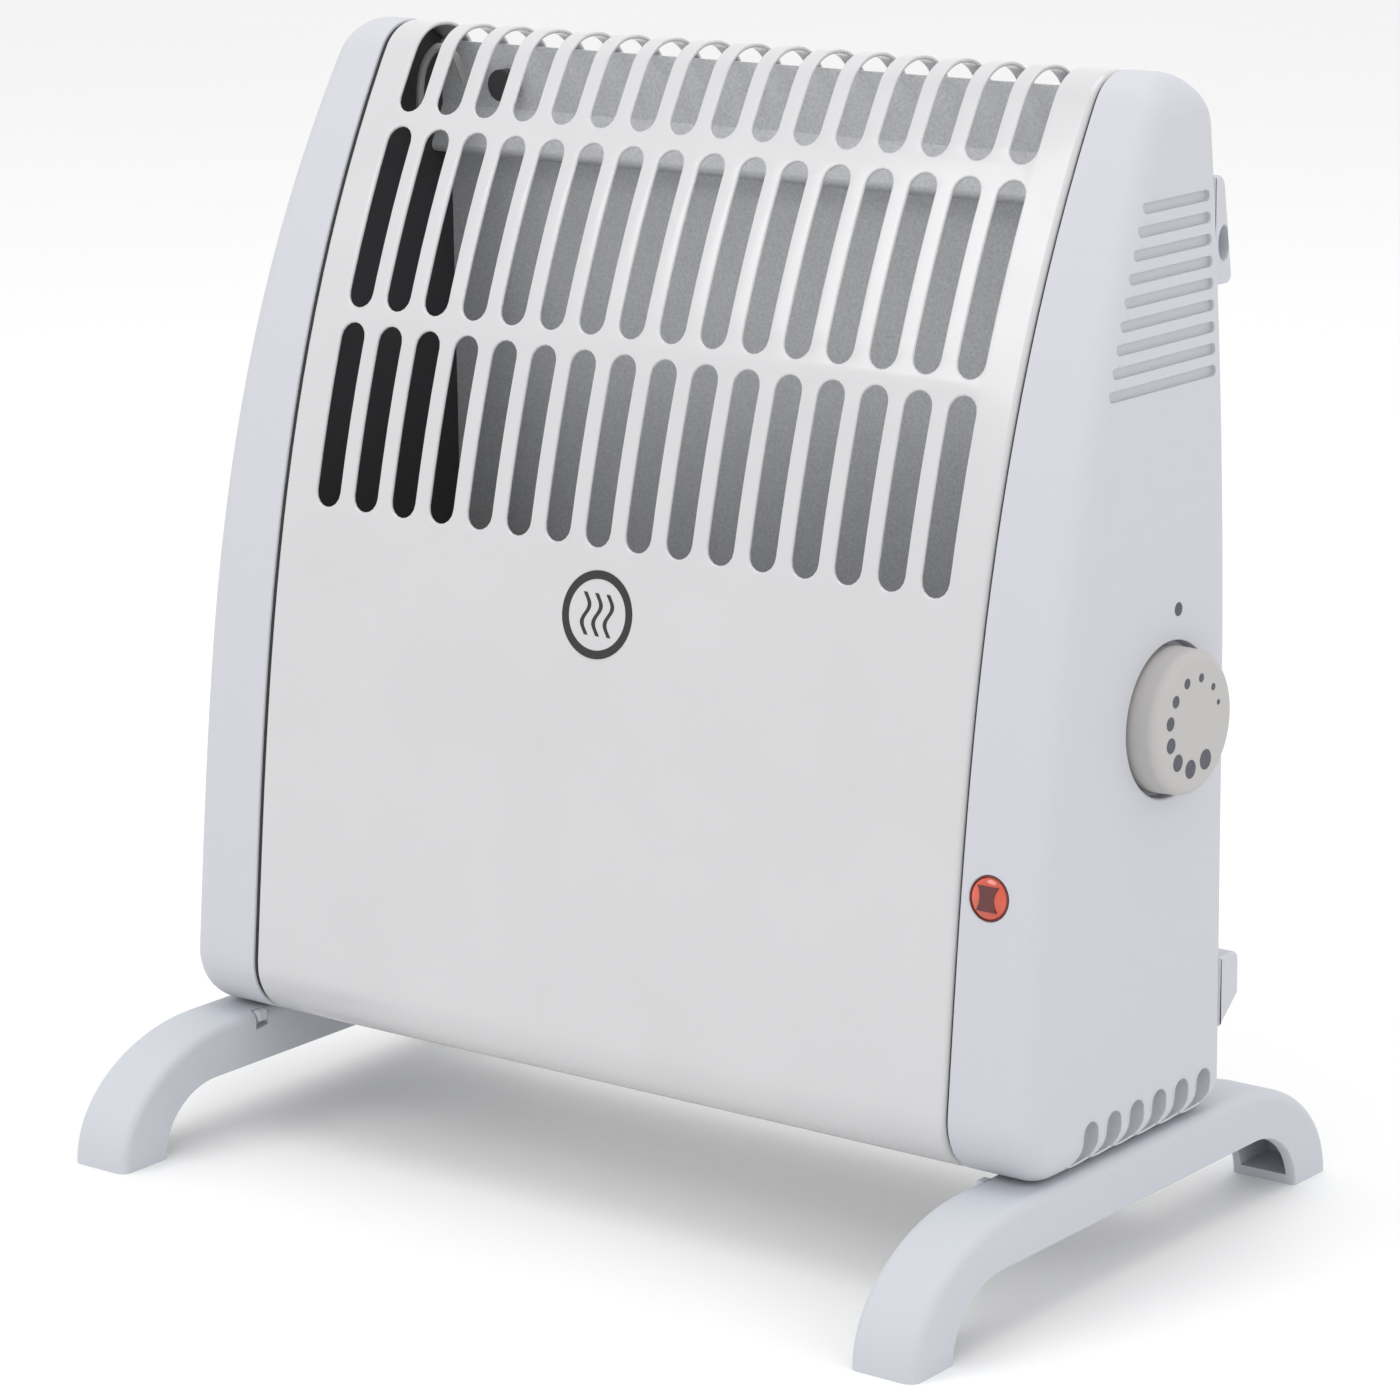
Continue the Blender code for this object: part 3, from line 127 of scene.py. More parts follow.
class HeaterSizes(bpy.types.PropertyGroup):
    """Sizes of the heater's visible pieces."""

    front_y: length("Front", "Place of the front, 50 mm above the floor", -42.95 * MM)
    lean_even: length("Even Lean", "Lean of the front from bottom to top, even part", 21.1 * MM)
    lean_curved: length("Curved Lean", "Lean that grows with the cube of the height", 34.8 * MM)
    front_bottom_radius: length("Front Bottom Radius", "Bend under the front", 14.0 * MM)
    top_radius: length("Top Radius", "Both bends at the top", 12.0 * MM)
    back_bottom_radius: length("Back Bottom Radius", "Bend at the back's foot", 8.0 * MM)
    cover_wall: length("Cover Sheet", "Thickness of the cover's sheet", 1.0 * MM)
    cover_half_width: length("Cover Half Width", "Half of the cover's width", COVER_HALF_WIDTH)
    cover_side_roll: length("Cover Side Roll", "Radius of the cover's rolled side edges", 1.8 * MM)
    cover_return: length("Cover Return", "Reach of the cover's returns", 20.0 * MM)
    slot_width: length("Slot Width", "Width of an air slot", 7.5 * MM)
    slot_margin: length("Slot Margin", "Cover's side edge to the first slot's middle", 14.2 * MM)
    slot_rim: length("Slot Rim", "Radius of a slot's rounded rim", 0.45 * MM)
    cap_wall: length("Cap Wall", "Wall of an end cap", 2.2 * MM)
    cap_seam: length("Cap Seam", "Centre plane to an end cap's open edge", HALF_WIDTH - 21.7 * MM)
    cap_taper: length("Cap Taper", "How far a side face leans in at the top", 6.0 * MM)
    cap_edge_front: length("Cap Front Edge", "Radius between front and side", 6.5 * MM)
    cap_edge_top: length("Cap Top Edge", "Radius between top and side", 11.0 * MM)
    cap_edge_back: length("Cap Back Edge", "Radius between back and side", 3.0 * MM)
    cap_edge_bottom: length("Cap Bottom Edge", "Radius between bottom and side", 7.0 * MM)
    groove_pitch: length("Groove Pitch", "Distance between side grooves", 4.93 * MM)
    groove_height: length("Groove Height", "Height of a side groove", 2.5 * MM)
    groove_depth: length("Groove Depth", "Depth of a side groove", 1.35 * MM)
    vent_pitch: length("Vent Pitch", "Distance between the drop-shaped vents", 9.5 * MM)
    vent_radius: length("Vent Radius", "Round head of a vent", 3.4 * MM)
    foot_edge: length("Foot Edge", "Radius of a foot's upper edges", 2.8 * MM)
    foot_wall: length("Foot Wall", "Wall of a foot", 2.4 * MM)
    knob_radius: length("Knob Radius", "Radius of the knob", 16.9 * MM)
    knob_rim: length("Knob Rim", "Radius of the knob's rounded rim", 2.4 * MM)
    lamp_radius: length("Lamp Radius", "Radius of the lamp's hole", 5.2 * MM)
    mark_radius: length("Mark Radius", "Outer radius of the printed heat mark", 10.4 * MM)


class HeaterColours(bpy.types.PropertyGroup):
    """Colours of the heater's finishes."""

    coat: colour("Coat", "Stove enamel of the cover", (0.545, 0.545, 0.556))
    cap: colour("Cap", "Moulded end caps", (0.305, 0.308, 0.320))
    foot: colour("Foot", "Moulded feet", (0.370, 0.373, 0.396))
    knob: colour("Knob", "Thermostat knob", (0.355, 0.351, 0.358))
    print_grey: colour("Dots", "Printed dots of the dial", (0.055, 0.057, 0.075))
    print_black: colour("Mark", "Printed heat mark", (0.012, 0.012, 0.013))
    lamp: colour("Lamp", "Red lamp lens", (0.50, 0.062, 0.026))
    zinc: colour("Zinc", "Zinc-coated sheet", (0.56, 0.57, 0.585))
    floor: colour("Floor", "Studio floor", (0.86, 0.86, 0.86))


def sizes():
    return bpy.context.scene.heater_sizes


def colours():
    return bpy.context.scene.heater_colours


# Curves of the body


def front_line(z):
    """Y of the front at a height: it leans back, and more so towards the top."""
    size = sizes()
    low, high = BODY_BOTTOM + 20.5 * MM, BODY_TOP - 7.7 * MM
    t = (z - low) / (high - low)
    return size.front_y + size.lean_even * t + size.lean_curved * t**3


def rounded(corners, closed, steps):
    """Points through corners (u, v, radius), with an arc at each corner that has a radius."""
    points = []
    count = len(corners)
    for i, (u, v, radius) in enumerate(corners):
        here = Vector((u, v))
        if not radius or (not closed and i in (0, count - 1)):
            points.append(here)
            continue
        before = (Vector(corners[i - 1][:2]) - here).normalized()
        after = (Vector(corners[(i + 1) % count][:2]) - here).normalized()
        half = before.angle(after) / 2
        centre = here + (before + after).normalized() * radius / math.sin(half)
        start = here + before * radius / math.tan(half) - centre
        end = here + after * radius / math.tan(half) - centre
        sweep = start.angle_signed(end)
        for step in range(steps + 1):
            angle = -sweep * step / steps
            c, s = math.cos(angle), math.sin(angle)
            points.append(centre + Vector((start.x * c - start.y * s, start.x * s + start.y * c)))
    return points


def mitres(points, closed=True):
    """Vectors that move a line's points outwards by one unit, for lines that run clockwise in (u, v)."""
    result = []
    count = len(points)
    for i, here in enumerate(points):
        before = points[i - 1] if closed or i else None
        after = points[(i + 1) % count] if closed or i < count - 1 else None
        sides = [b - a for a, b in ((before, here), (here, after)) if a is not None and b is not None]
        sides = [Vector((-side.y, side.x)).normalized() for side in sides]
        middle = sum(sides, Vector((0.0, 0.0))).normalized()
        result.append(middle / max(0.2, middle.dot(sides[0])))
    return result


def clockwise(points):
    area = sum(a.x * b.y - b.x * a.y for a, b in zip(points, points[1:] + points[:1]))
    return points if area < 0 else points[::-1]


def front_corners(steps):
    """Corners (y, z, radius) of the body's line from the bottom, up the front and over to the back."""
    size = sizes()
    low = BODY_BOTTOM + size.front_bottom_radius * 1.25
    high = BODY_TOP - size.top_radius * 0.75
    rise = (high - low) / steps
    return [
        (front_line(BODY_BOTTOM), BODY_BOTTOM, size.front_bottom_radius),
        *((front_line(low + rise * i), low + rise * i, 0.0) for i in range(steps + 1)),
        (front_line(BODY_TOP), BODY_TOP, size.top_radius),
        (BACK_Y, BODY_TOP, size.top_radius),
    ]


def side_x(z):
    """Half width of the body at a height: the side faces lean in towards the top."""
    rise = max(0.0, z - TAPER_START) / (BODY_TOP - TAPER_START)
    return HALF_WIDTH - sizes().cap_taper * rise**2


# Mesh helpers


def quarter(steps):
    """Angles of a quarter turn."""
    return [math.pi / 2 * step / steps for step in range(steps + 1)]


def linked(name, data):
    made = bpy.data.objects.new(name, data)
    bpy.context.scene.collection.objects.link(made)
    return made


def shown_mesh(holder):
    """A copy of the mesh that an object shows, with its modifiers."""
    bpy.context.view_layer.update()
    depsgraph = bpy.context.evaluated_depsgraph_get()
    return bpy.data.meshes.new_from_object(holder.evaluated_get(depsgraph))


def numbered(bm):
    """The layer that keeps each vertex's place in its ring."""
    return bm.verts.layers.int.get("number") or bm.verts.layers.int.new("number")


def next_ring(bm, edges):
    """Extrudes a ring of edges, and gives the new vertices and the new ring's edges."""
    made = bmesh.ops.extrude_edge_only(bm, edges=edges)["geom"]
    ring = {item for item in made if isinstance(item, bmesh.types.BMVert)}
    return ring, [e for e in made if isinstance(e, bmesh.types.BMEdge) and ring.issuperset(e.verts)]


def loft(bm, rings, ends=True):
    """A skin over rings of equal point counts, extruded from each to the next, with its ends closed."""
    number = numbered(bm)
    ring = [bm.verts.new(spot) for spot in rings[0]]
    for i, vert in enumerate(ring):
        vert[number] = i
    edges = [bm.edges.new(pair) for pair in zip(ring, ring[1:] + ring[:1])]
    open_ends = [edges]
    for spots in rings[1:]:
        ring, edges = next_ring(bm, edges)
        for vert in ring:
            vert.co = spots[vert[number]]
    open_ends.append(edges)
    if ends:
        for edge_loop in open_ends:
            bmesh.ops.contextual_create(bm, geom=edge_loop)
    return open_ends


def stations(depth, low_round, high_round, steps=4):
    """(height, growth) from 0 to depth, with a quarter round at each end that has one."""
    result = []
    turns = quarter(steps)
    if low_round:
        result += [
            (low_round * (1 - math.sin(a)), -low_round * (1 - math.cos(a))) for a in reversed(turns)
        ]
    else:
        result.append((0.0, 0.0))
    if high_round:
        result += [
            (depth - high_round * (1 - math.sin(a)), -high_round * (1 - math.cos(a))) for a in turns
        ]
    else:
        result.append((depth, 0.0))
    return result


def stacked(outline, levels, place, reach=None):
    """A closed body from one outline, with a (height, growth) at each level."""
    points = clockwise([Vector(point) for point in outline])
    outward = mitres(points)
    if reach:
        outward = [reach(p, n) for p, n in zip(points, outward)]
    bm = bmesh.new()
    rings = []
    for height, growth in levels:
        rings.append([(*(p + n * growth), height) for p, n in zip(points, outward)])
    loft(bm, rings)
    bmesh.ops.transform(bm, matrix=place, verts=bm.verts)
    return bm


def turned(profile, place, steps=64):
    """A turned body from (radius, height) pairs, spun about local Z."""
    bm = bmesh.new()
    line = [bm.verts.new((radius, 0.0, height)) for radius, height in profile]
    edges = [bm.edges.new(pair) for pair in zip(line, line[1:])]
    bmesh.ops.spin(
        bm, geom=line + edges, cent=(0, 0, 0), axis=(0, 0, 1), angle=math.tau, steps=steps, use_merge=True
    )
    bmesh.ops.remove_doubles(bm, verts=bm.verts, dist=WELD)
    bmesh.ops.transform(bm, matrix=place, verts=bm.verts)
    return bm


def plug(radius, high, low, place, steps=24):
    """A plain round cutter along local Z."""
    return turned([(0.0, high), (radius, high), (radius, low), (0.0, low)], place, steps)


def oval(u, v, half_width, half_height, count=40):
    angles = [math.tau * step / count for step in range(count)]
    return [(u + half_width * math.cos(a), v + half_height * math.sin(a)) for a in angles]


def mesh_from(bm, name, merge=0.0):
    """A mesh with its faces outwards, welded where asked."""
    if merge:
        bmesh.ops.remove_doubles(bm, verts=bm.verts, dist=merge)
    bmesh.ops.recalc_face_normals(bm, faces=bm.faces)
    if bm.calc_volume(signed=True) < 0:
        bmesh.ops.reverse_faces(bm, faces=bm.faces)
    mesh = bpy.data.meshes.new(name)
    bm.to_mesh(mesh)
    bm.free()
    return mesh


def joined(parts):
    """Closed bodies in one, each with its faces outwards."""
    whole = bmesh.new()
    for bm in parts:
        mesh = mesh_from(bm, "part")
        whole.from_mesh(mesh)
        bpy.data.meshes.remove(mesh)
    return whole


def carve(mesh, cutters, operation="DIFFERENCE"):
    """The mesh with the cutters taken from it, or joined to it."""
    tools = bpy.data.meshes.new("cutters")
    whole = joined(cutters)
    whole.to_mesh(tools)
    whole.free()
    block, tool = linked("block", mesh), linked("tool", tools)
    change = block.modifiers.new("carve", "BOOLEAN")
    change.solver = "MANIFOLD"
    change.operation = operation
    change.object = tool
    carved = shown_mesh(block)
    for old in (block, tool):
        bpy.data.objects.remove(old, do_unlink=True)
    return carved


def middle(node):
    low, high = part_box(node)
    return (low + high) / 2


def piece(name, mesh, material, nodes=(), body="heater", sharp=40.0):
    """Places a finished piece on its body, in its finish, for the CAD nodes that it stands for."""
    mesh.materials.clear()
    mesh.materials.append(material)
    mesh.shade_smooth()
    mesh.set_sharp_from_angle(angle=math.radians(sharp))
    made = linked(name, mesh)
    shading = made.modifiers.new("even shading", "WEIGHTED_NORMAL")
    shading.keep_sharp = True
    shading.weight = 50
    if nodes:
        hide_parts(*nodes)
    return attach(made, body)


# Materials


class Surface:
    """Node helper: a Principled shader whose patterns read Object coordinates."""

    def __init__(self, name, base, roughness, metallic=0.0):
        self.material = bpy.data.materials.new(name)
        self.material.use_nodes = True
        self.tree = self.material.node_tree
        self.shader = self.tree.nodes["Principled BSDF"]
        self.shader.inputs["Base Color"].default_value = (*base, 1.0)
        self.shader.inputs["Roughness"].default_value = roughness
        self.shader.inputs["Metallic"].default_value = metallic
        self.base = base
        self.where = self.tree.nodes.new("ShaderNodeTexCoord").outputs["Object"]
        self.normal = None

    def link(self, source, target):
        self.tree.links.new(source, target)

    def noise(self, scale, detail=3.0, stretch=None, roughness=0.5):
        node = self.tree.nodes.new("ShaderNodeTexNoise")
        node.inputs["Scale"].default_value = scale
        node.inputs["Detail"].default_value = detail
        node.inputs["Roughness"].default_value = roughness
        where = self.where
        if stretch:
            mapping = self.tree.nodes.new("ShaderNodeMapping")
            mapping.inputs["Scale"].default_value = stretch
            self.link(where, mapping.inputs["Vector"])
            where = mapping.outputs["Vector"]
        self.link(where, node.inputs["Vector"])
        return node.outputs["Fac"]

    def cells(self, scale):
        node = self.tree.nodes.new("ShaderNodeTexVoronoi")
        node.inputs["Scale"].default_value = scale
        self.link(self.where, node.inputs["Vector"])
        return node

    def ranged(self, source, low, high, start=0.3, end=0.7):
        node = self.tree.nodes.new("ShaderNodeMapRange")
        node.inputs["From Min"].default_value = start
        node.inputs["From Max"].default_value = end
        node.inputs["To Min"].default_value = low
        node.inputs["To Max"].default_value = high
        self.link(source, node.inputs["Value"])
        return node.outputs["Result"]

    def tint(self, source, dark, light, start=0.3, end=0.7):
        """Base colour between two shades, by a pattern."""
        node = self.tree.nodes.new("ShaderNodeMix")
        node.data_type = "RGBA"
        node.inputs["A"].default_value = (*(c * dark for c in self.base), 1.0)
        node.inputs["B"].default_value = (*(min(1.0, c * light) for c in self.base), 1.0)
        self.link(self.ranged(source, 0.0, 1.0, start, end), node.inputs["Factor"])
        self.link(node.outputs["Result"], self.shader.inputs["Base Color"])

    def rough(self, source, low, high, start=0.3, end=0.7):
        self.link(self.ranged(source, low, high, start, end), self.shader.inputs["Roughness"])

    def bump(self, source, depth):
        """Relief of a pattern, in metres, on top of any relief that is there already."""
        node = self.tree.nodes.new("ShaderNodeBump")
        node.inputs["Distance"].default_value = depth
        node.inputs["Strength"].default_value = 1.0
        self.link(source, node.inputs["Height"])
        if self.normal:
            self.link(self.normal, node.inputs["Normal"])
        self.normal = node.outputs["Normal"]
        self.link(self.normal, self.shader.inputs["Normal"])

    def set(self, **values):
        for name, value in values.items():
            self.shader.inputs[name.replace("_", " ")].default_value = value


def stove_enamel(name, base):
    """Glossy enamel: fine orange peel, a faint speckle and slightly uneven gloss."""
    surface = Surface(name, base, 0.22)
    surface.tint(surface.noise(38.0, 4.0), 0.985, 1.015)
    surface.rough(surface.noise(90.0, 3.0), 0.17, 0.27)
    surface.bump(surface.noise(420.0, 2.0), 0.000012)
    surface.bump(surface.noise(1900.0, 1.0), 0.000004)
    surface.set(Coat_Weight=0.35, Coat_Roughness=0.08, Specular_IOR_Level=0.5)
    return surface.material


def moulded_plastic(name, base, low, high):
    """Satin moulded plastic: spark-eroded grain, flow shades and uneven gloss."""
    surface = Surface(name, base, (low + high) / 2)
    surface.tint(surface.noise(14.0, 4.0, (1.0, 1.0, 0.35)), 0.975, 1.02)
    surface.rough(surface.noise(60.0, 4.0), low, high)
    surface.bump(surface.noise(1400.0, 2.0, roughness=0.7), 0.000012)
    surface.set(Specular_IOR_Level=0.45)
    return surface.material


def zinc_sheet(name, base, low=0.42, high=0.58, metallic=0.12):
    """Zinc-coated sheet: spangle, rolling lines and fine speckle."""
    surface = Surface(name, base, (low + high) / 2, metallic)
    surface.tint(surface.noise(1500.0, 4.0, roughness=0.8), 0.82, 1.14, 0.35, 0.65)
    surface.rough(surface.noise(120.0, 4.0, (1.0, 1.0, 8.0)), low, high)
    surface.bump(surface.noise(900.0, 2.0), 0.000008)
    return surface.material


def brushed_metal(name, base, low, high):
    """Turned or rolled metal with fine lines and small stains."""
    surface = Surface(name, base, (low + high) / 2, 1.0)
    surface.tint(surface.noise(300.0, 4.0), 0.85, 1.08)
    surface.rough(surface.noise(700.0, 3.0), low, high)
    surface.bump(surface.noise(1600.0, 2.0), 0.000006)
    return surface.material


def ceramic(name, base):
    """Unglazed steatite: matt, with fine pores."""
    surface = Surface(name, base, 0.7)
    surface.tint(surface.noise(220.0, 5.0), 0.9, 1.06)
    surface.bump(surface.noise(2200.0, 2.0), 0.00002)
    return surface.material


def mica_board(name, base):
    """Pressed mica: brown flakes with a silky gloss."""
    surface = Surface(name, base, 0.4)
    flakes = surface.cells(420.0)
    surface.tint(flakes.outputs["Color"], 0.75, 1.3, 0.1, 0.9)
    surface.rough(flakes.outputs["Distance"], 0.28, 0.55, 0.0, 1.0)
    return surface.material


def soft_plastic(name, base, low, high):
    """Extruded or pressed plastic with faint flow marks."""
    surface = Surface(name, base, (low + high) / 2)
    surface.tint(surface.noise(180.0, 3.0), 0.94, 1.05)
    surface.rough(surface.noise(260.0, 3.0), low, high)
    surface.bump(surface.noise(1500.0, 2.0), 0.000008)
    return surface.material


def lens_plastic(name, base):
    """Clear red lens: deep glossy red, lighter and darker in soft random patches."""
    surface = Surface(name, base, 0.12)
    surface.tint(surface.noise(240.0, 3.0, (1.0, 1.0, 0.5)), 0.75, 1.5, 0.25, 0.75)
    surface.rough(surface.noise(500.0, 2.0), 0.08, 0.16)
    surface.set(Coat_Weight=0.6, Coat_Roughness=0.05)
    return surface.material


def printed_ink(name, base):
    """Screen-printed ink: nearly flat, with a slightly uneven edge gloss."""
    surface = Surface(name, base, 0.4)
    surface.tint(surface.noise(900.0, 3.0), 0.9, 1.15)
    surface.rough(surface.noise(700.0, 3.0), 0.32, 0.48)
    return surface.material


def finish(name):
    """A finish by name: the material of that name if there is one, the frame's own included, or a new one."""
    found = bpy.data.materials.get(name)
    if found:
        return found
    tones = colours()
    makers = {
        "stove_enamel": (stove_enamel, tones.coat),
        "cap_plastic": (moulded_plastic, tones.cap, 0.34, 0.44),
        "foot_plastic": (moulded_plastic, tones.foot, 0.28, 0.38),
        "knob_plastic": (moulded_plastic, tones.knob, 0.36, 0.46),
        "zinc_panel": (zinc_sheet, tones.zinc),
        # painted shade: a near-black copy of the zinc sheet, for the left end plate and its earth screw,
        # which lie in shade inside the body
        "dark_sheet": (zinc_sheet, (0.10, 0.10, 0.11), 0.45, 0.65, 0.2),
        "screw_steel": (brushed_metal, (0.50, 0.50, 0.51), 0.25, 0.4),
        "brass": (brushed_metal, (0.62, 0.45, 0.20), 0.25, 0.4),
        "nichrome": (brushed_metal, (0.28, 0.26, 0.25), 0.35, 0.5),
        "steatite": (ceramic, (0.74, 0.70, 0.62)),
        "mica_board": (mica_board, (0.36, 0.25, 0.13)),
        # black rubber; the seam strips also wear it as painted shade for the gaps between cover and caps
        "black_rubber": (soft_plastic, (0.025, 0.025, 0.027), 0.5, 0.7),
        "terminal_plastic": (soft_plastic, (0.70, 0.70, 0.66), 0.4, 0.55),
        "white_lead": (soft_plastic, (0.74, 0.74, 0.71), 0.35, 0.5),
        "brown_lead": (soft_plastic, (0.20, 0.09, 0.035), 0.35, 0.5),
        "blue_lead": (soft_plastic, (0.04, 0.11, 0.40), 0.35, 0.5),
        "grey_lead": (soft_plastic, (0.30, 0.30, 0.29), 0.35, 0.5),
        "lens_plastic": (lens_plastic, tones.lamp),
        "lamp_core": (soft_plastic, (0.105, 0.022, 0.024), 0.2, 0.35),
        "dial_ink": (printed_ink, tones.print_grey),
        "mark_ink": (printed_ink, tones.print_black),
    }
    maker, *values = makers[name]
    return maker(name, *values)


# Front cover


def along_line(points):
    total = [0.0]
    for a, b in zip(points, points[1:]):
        total.append(total[-1] + (b - a).length)
    return total


def place_at_height(points, along, z):
    """Length along the cover's line where its front passes height z."""
    for a, b, start in zip(points, points[1:], along):
        if a.y <= z < b.y and b.y - a.y > (b.x - a.x) * 0.2:
            return start + (b - a).length * (z - a.y) / (b.y - a.y)
    raise ValueError("no such height on the front")


def slot_outline(x, low, high, rim, steps=8):
    """An air slot with half-round ends."""
    radius = sizes().slot_width / 2 + rim
    low, high = low - rim, high + rim
    angles = [math.pi * step / steps for step in range(steps + 1)]
    upper = [(x + radius * math.cos(a), high - radius + radius * math.sin(a)) for a in angles]
    lower = [(x - radius * math.cos(a), low + radius - radius * math.sin(a)) for a in angles]
    return upper + lower


def add_line(curve, points, closed=False):
    spline = curve.splines.new("POLY")
    spline.points.add(len(points) - 1)
    for point, spot in zip(spline.points, points):
        point.co = (*spot, 1.0)
    spline.use_cyclic_u = closed


def from_curve(curve):
    """A curve's mesh, to work on."""
    holder = linked("holder", curve)
    mesh = shown_mesh(holder)
    bpy.data.objects.remove(holder, do_unlink=True)
    bm = bmesh.new()
    bm.from_mesh(mesh)
    bpy.data.meshes.remove(mesh)
    return bm


def flat_sheet(loops):
    """A flat sheet with holes, from filled outlines: the first is the sheet's edge."""
    curve = bpy.data.curves.new("sheet", "CURVE")
    curve.dimensions = "2D"
    curve.fill_mode = "BOTH"
    for loop in loops:
        add_line(curve, [(u, v, 0.0) for u, v in loop], closed=True)
    bm = from_curve(curve)
    bmesh.ops.remove_doubles(bm, verts=bm.verts, dist=0.000005)
    # a filled outline comes with a front and a back: one of them is enough
    spare = [face for face in bm.faces if face.normal.z < 0]
    if len(spare) < len(bm.faces):
        bmesh.ops.delete(bm, geom=spare, context="FACES")
    return bm


def away_from_sheet(edge):
    """The way that an open edge faces, in the sheet's plane."""
    a, b = edge.verts
    side = (b.co - a.co).cross(Vector((0, 0, 1))).normalized()
    if side.dot(edge.link_faces[0].calc_center_median() - a.co) > 0:
        side.negate()
    return side


def rim_levels(wall, rounding, steps=3):
    """(growth, depth) down a hole's wall, with both its rims rounded."""
    turns = quarter(steps)
    upper = [(rounding * math.sin(a), rounding * (1 - math.cos(a))) for a in turns]
    lower = [(rounding * math.cos(a), wall - rounding * (1 - math.sin(a))) for a in turns]
    return upper + lower


def flange_levels(wall, roll, depth, steps=6):
    """(growth, depth) over a rolled edge, down its flange and back up inside it."""
    turns = quarter(steps)
    inside = roll - wall
    outer = [(roll * math.sin(a), roll * (1 - math.cos(a))) for a in turns]
    inner = [(inside * math.sin(a), roll - inside * math.cos(a)) for a in reversed(turns)]
    return [*outer, (roll, depth), (inside, depth), *inner]


def skirt(bm, edges, levels):
    """Extrudes open edges of a flat sheet through levels of (growth, depth)."""
    number = numbered(bm)
    base, outward = [], []
    for vert in {vert for edge in edges for vert in edge.verts}:
        sides = [away_from_sheet(edge) for edge in vert.link_edges if edge in edges]
        middle = sum(sides, Vector()).normalized()
        vert[number] = len(base)
        base.append(vert.co.copy())
        outward.append(middle / max(0.3, middle.dot(sides[0])))
    for growth, depth in levels[1:]:
        ring, edges = next_ring(bm, list(edges))
        for vert in ring:
            spot = base[vert[number]] + outward[vert[number]] * growth
            vert.co = (spot.x, spot.y, -depth)


def bend(bm, points, along):
    """Bends a flat sheet, X across and Y along, with its outer face at Z = 0, onto the line."""
    for place in along[1:-1]:
        geometry = bm.verts[:] + bm.edges[:] + bm.faces[:]
        bmesh.ops.bisect_plane(bm, geom=geometry, plane_co=(0, place, 0), plane_no=(0, 1, 0), dist=1e-7)
    outward = mitres(points, closed=False)
    for vert in bm.verts:
        k = max(i for i in range(len(along) - 1) if along[i] <= vert.co.y + 1e-7)
        share = (vert.co.y - along[k]) / (along[k + 1] - along[k])
        on_line = points[k].lerp(points[k + 1], share)
        out = outward[k].lerp(outward[k + 1], share) * vert.co.z
        vert.co = (vert.co.x + CENTRE_X, on_line.x + out.x, on_line.y + out.y)


def slot_spans(points, along, arc_steps):
    """Lower and upper end of each row of slots, along the cover's line."""
    spans = []
    for row in SLOT_ROWS:
        spans.append(tuple(place_at_height(points, along, BODY_TOP - drop) for drop in row))
    arc_start, arc_end = along[-2 - arc_steps], along[-2]
    end = arc_start + (arc_end - arc_start) * TOP_SLOT_SHARE
    return [*spans, (place_at_height(points, along, BODY_TOP - TOP_SLOT_DROP), end)]


def slotted_cover():
    """The cover's sheet, cut flat with its slots and rims and then bent over the body."""
    size = sizes()
    arc_steps = 12
    under = front_line(BODY_BOTTOM) + size.front_bottom_radius + size.cover_return
    behind = BODY_TOP - size.top_radius - size.cover_return
    corners = [(under, BODY_BOTTOM, 0.0), *front_corners(FRONT_STEPS), (BACK_Y, behind, 0.0)]
    points = rounded(corners, False, arc_steps)
    along = along_line(points)
    half = size.cover_half_width - size.cover_side_roll
    loops = [[(-half, 0.0), (half, 0.0), (half, along[-1]), (-half, along[-1])]]
    pitch = 2 * (size.cover_half_width - size.slot_margin) / (SLOT_COUNT - 1)
    for low, high in slot_spans(points, along, arc_steps):
        for i in range(SLOT_COUNT):
            loops.append(slot_outline((i - (SLOT_COUNT - 1) / 2) * pitch, low, high, size.slot_rim))
    bm = flat_sheet(loops)
    copy = bmesh.ops.duplicate(bm, geom=bm.verts[:] + bm.edges[:] + bm.faces[:])["geom"]
    inner = {item for item in copy if isinstance(item, bmesh.types.BMVert)}
    open_edges = {edge for edge in bm.edges if edge.is_boundary and edge.verts[0] not in inner}
    ends = {e for e in open_edges if all(v.co.y < 1e-6 or v.co.y > along[-1] - 1e-6 for v in e.verts)}
    ends = {e for e in ends if abs(e.verts[0].co.y - e.verts[1].co.y) < 1e-6}
    sides = {e for e in open_edges - ends if all(abs(v.co.x) > half - 1e-6 for v in e.verts)}
    bmesh.ops.translate(bm, vec=(0, 0, -size.cover_wall), verts=list(inner))
    skirt(bm, open_edges - sides - ends, rim_levels(size.cover_wall, size.slot_rim))
    skirt(bm, sides, flange_levels(size.cover_wall, size.cover_side_roll, COVER_FLANGE))
    bmesh.ops.remove_doubles(bm, verts=bm.verts, dist=WELD)
    bmesh.ops.holes_fill(bm, edges=[edge for edge in bm.edges if edge.is_boundary], sides=0)
    bend(bm, points, along)
    return mesh_from(bm, "cover")


# End caps


def body_section():
    """The body's outline from the side, in (y, z)."""
    corners = [(BACK_Y, BODY_BOTTOM, sizes().back_bottom_radius), *front_corners(FRONT_STEPS)]
    return clockwise(rounded(corners, True, 10))


def cap_edge_radius(normal):
    """Radius between the side face and the rim, by the way that the rim faces there."""
    size = sizes()
    front, back = max(0.0, -normal.x) ** 2, max(0.0, normal.x) ** 2
    top, bottom = max(0.0, normal.y) ** 2, max(0.0, -normal.y) ** 2
    return (
        size.cap_edge_front * front
        + size.cap_edge_back * back
        + size.cap_edge_top * top
        + size.cap_edge_bottom * bottom
    )


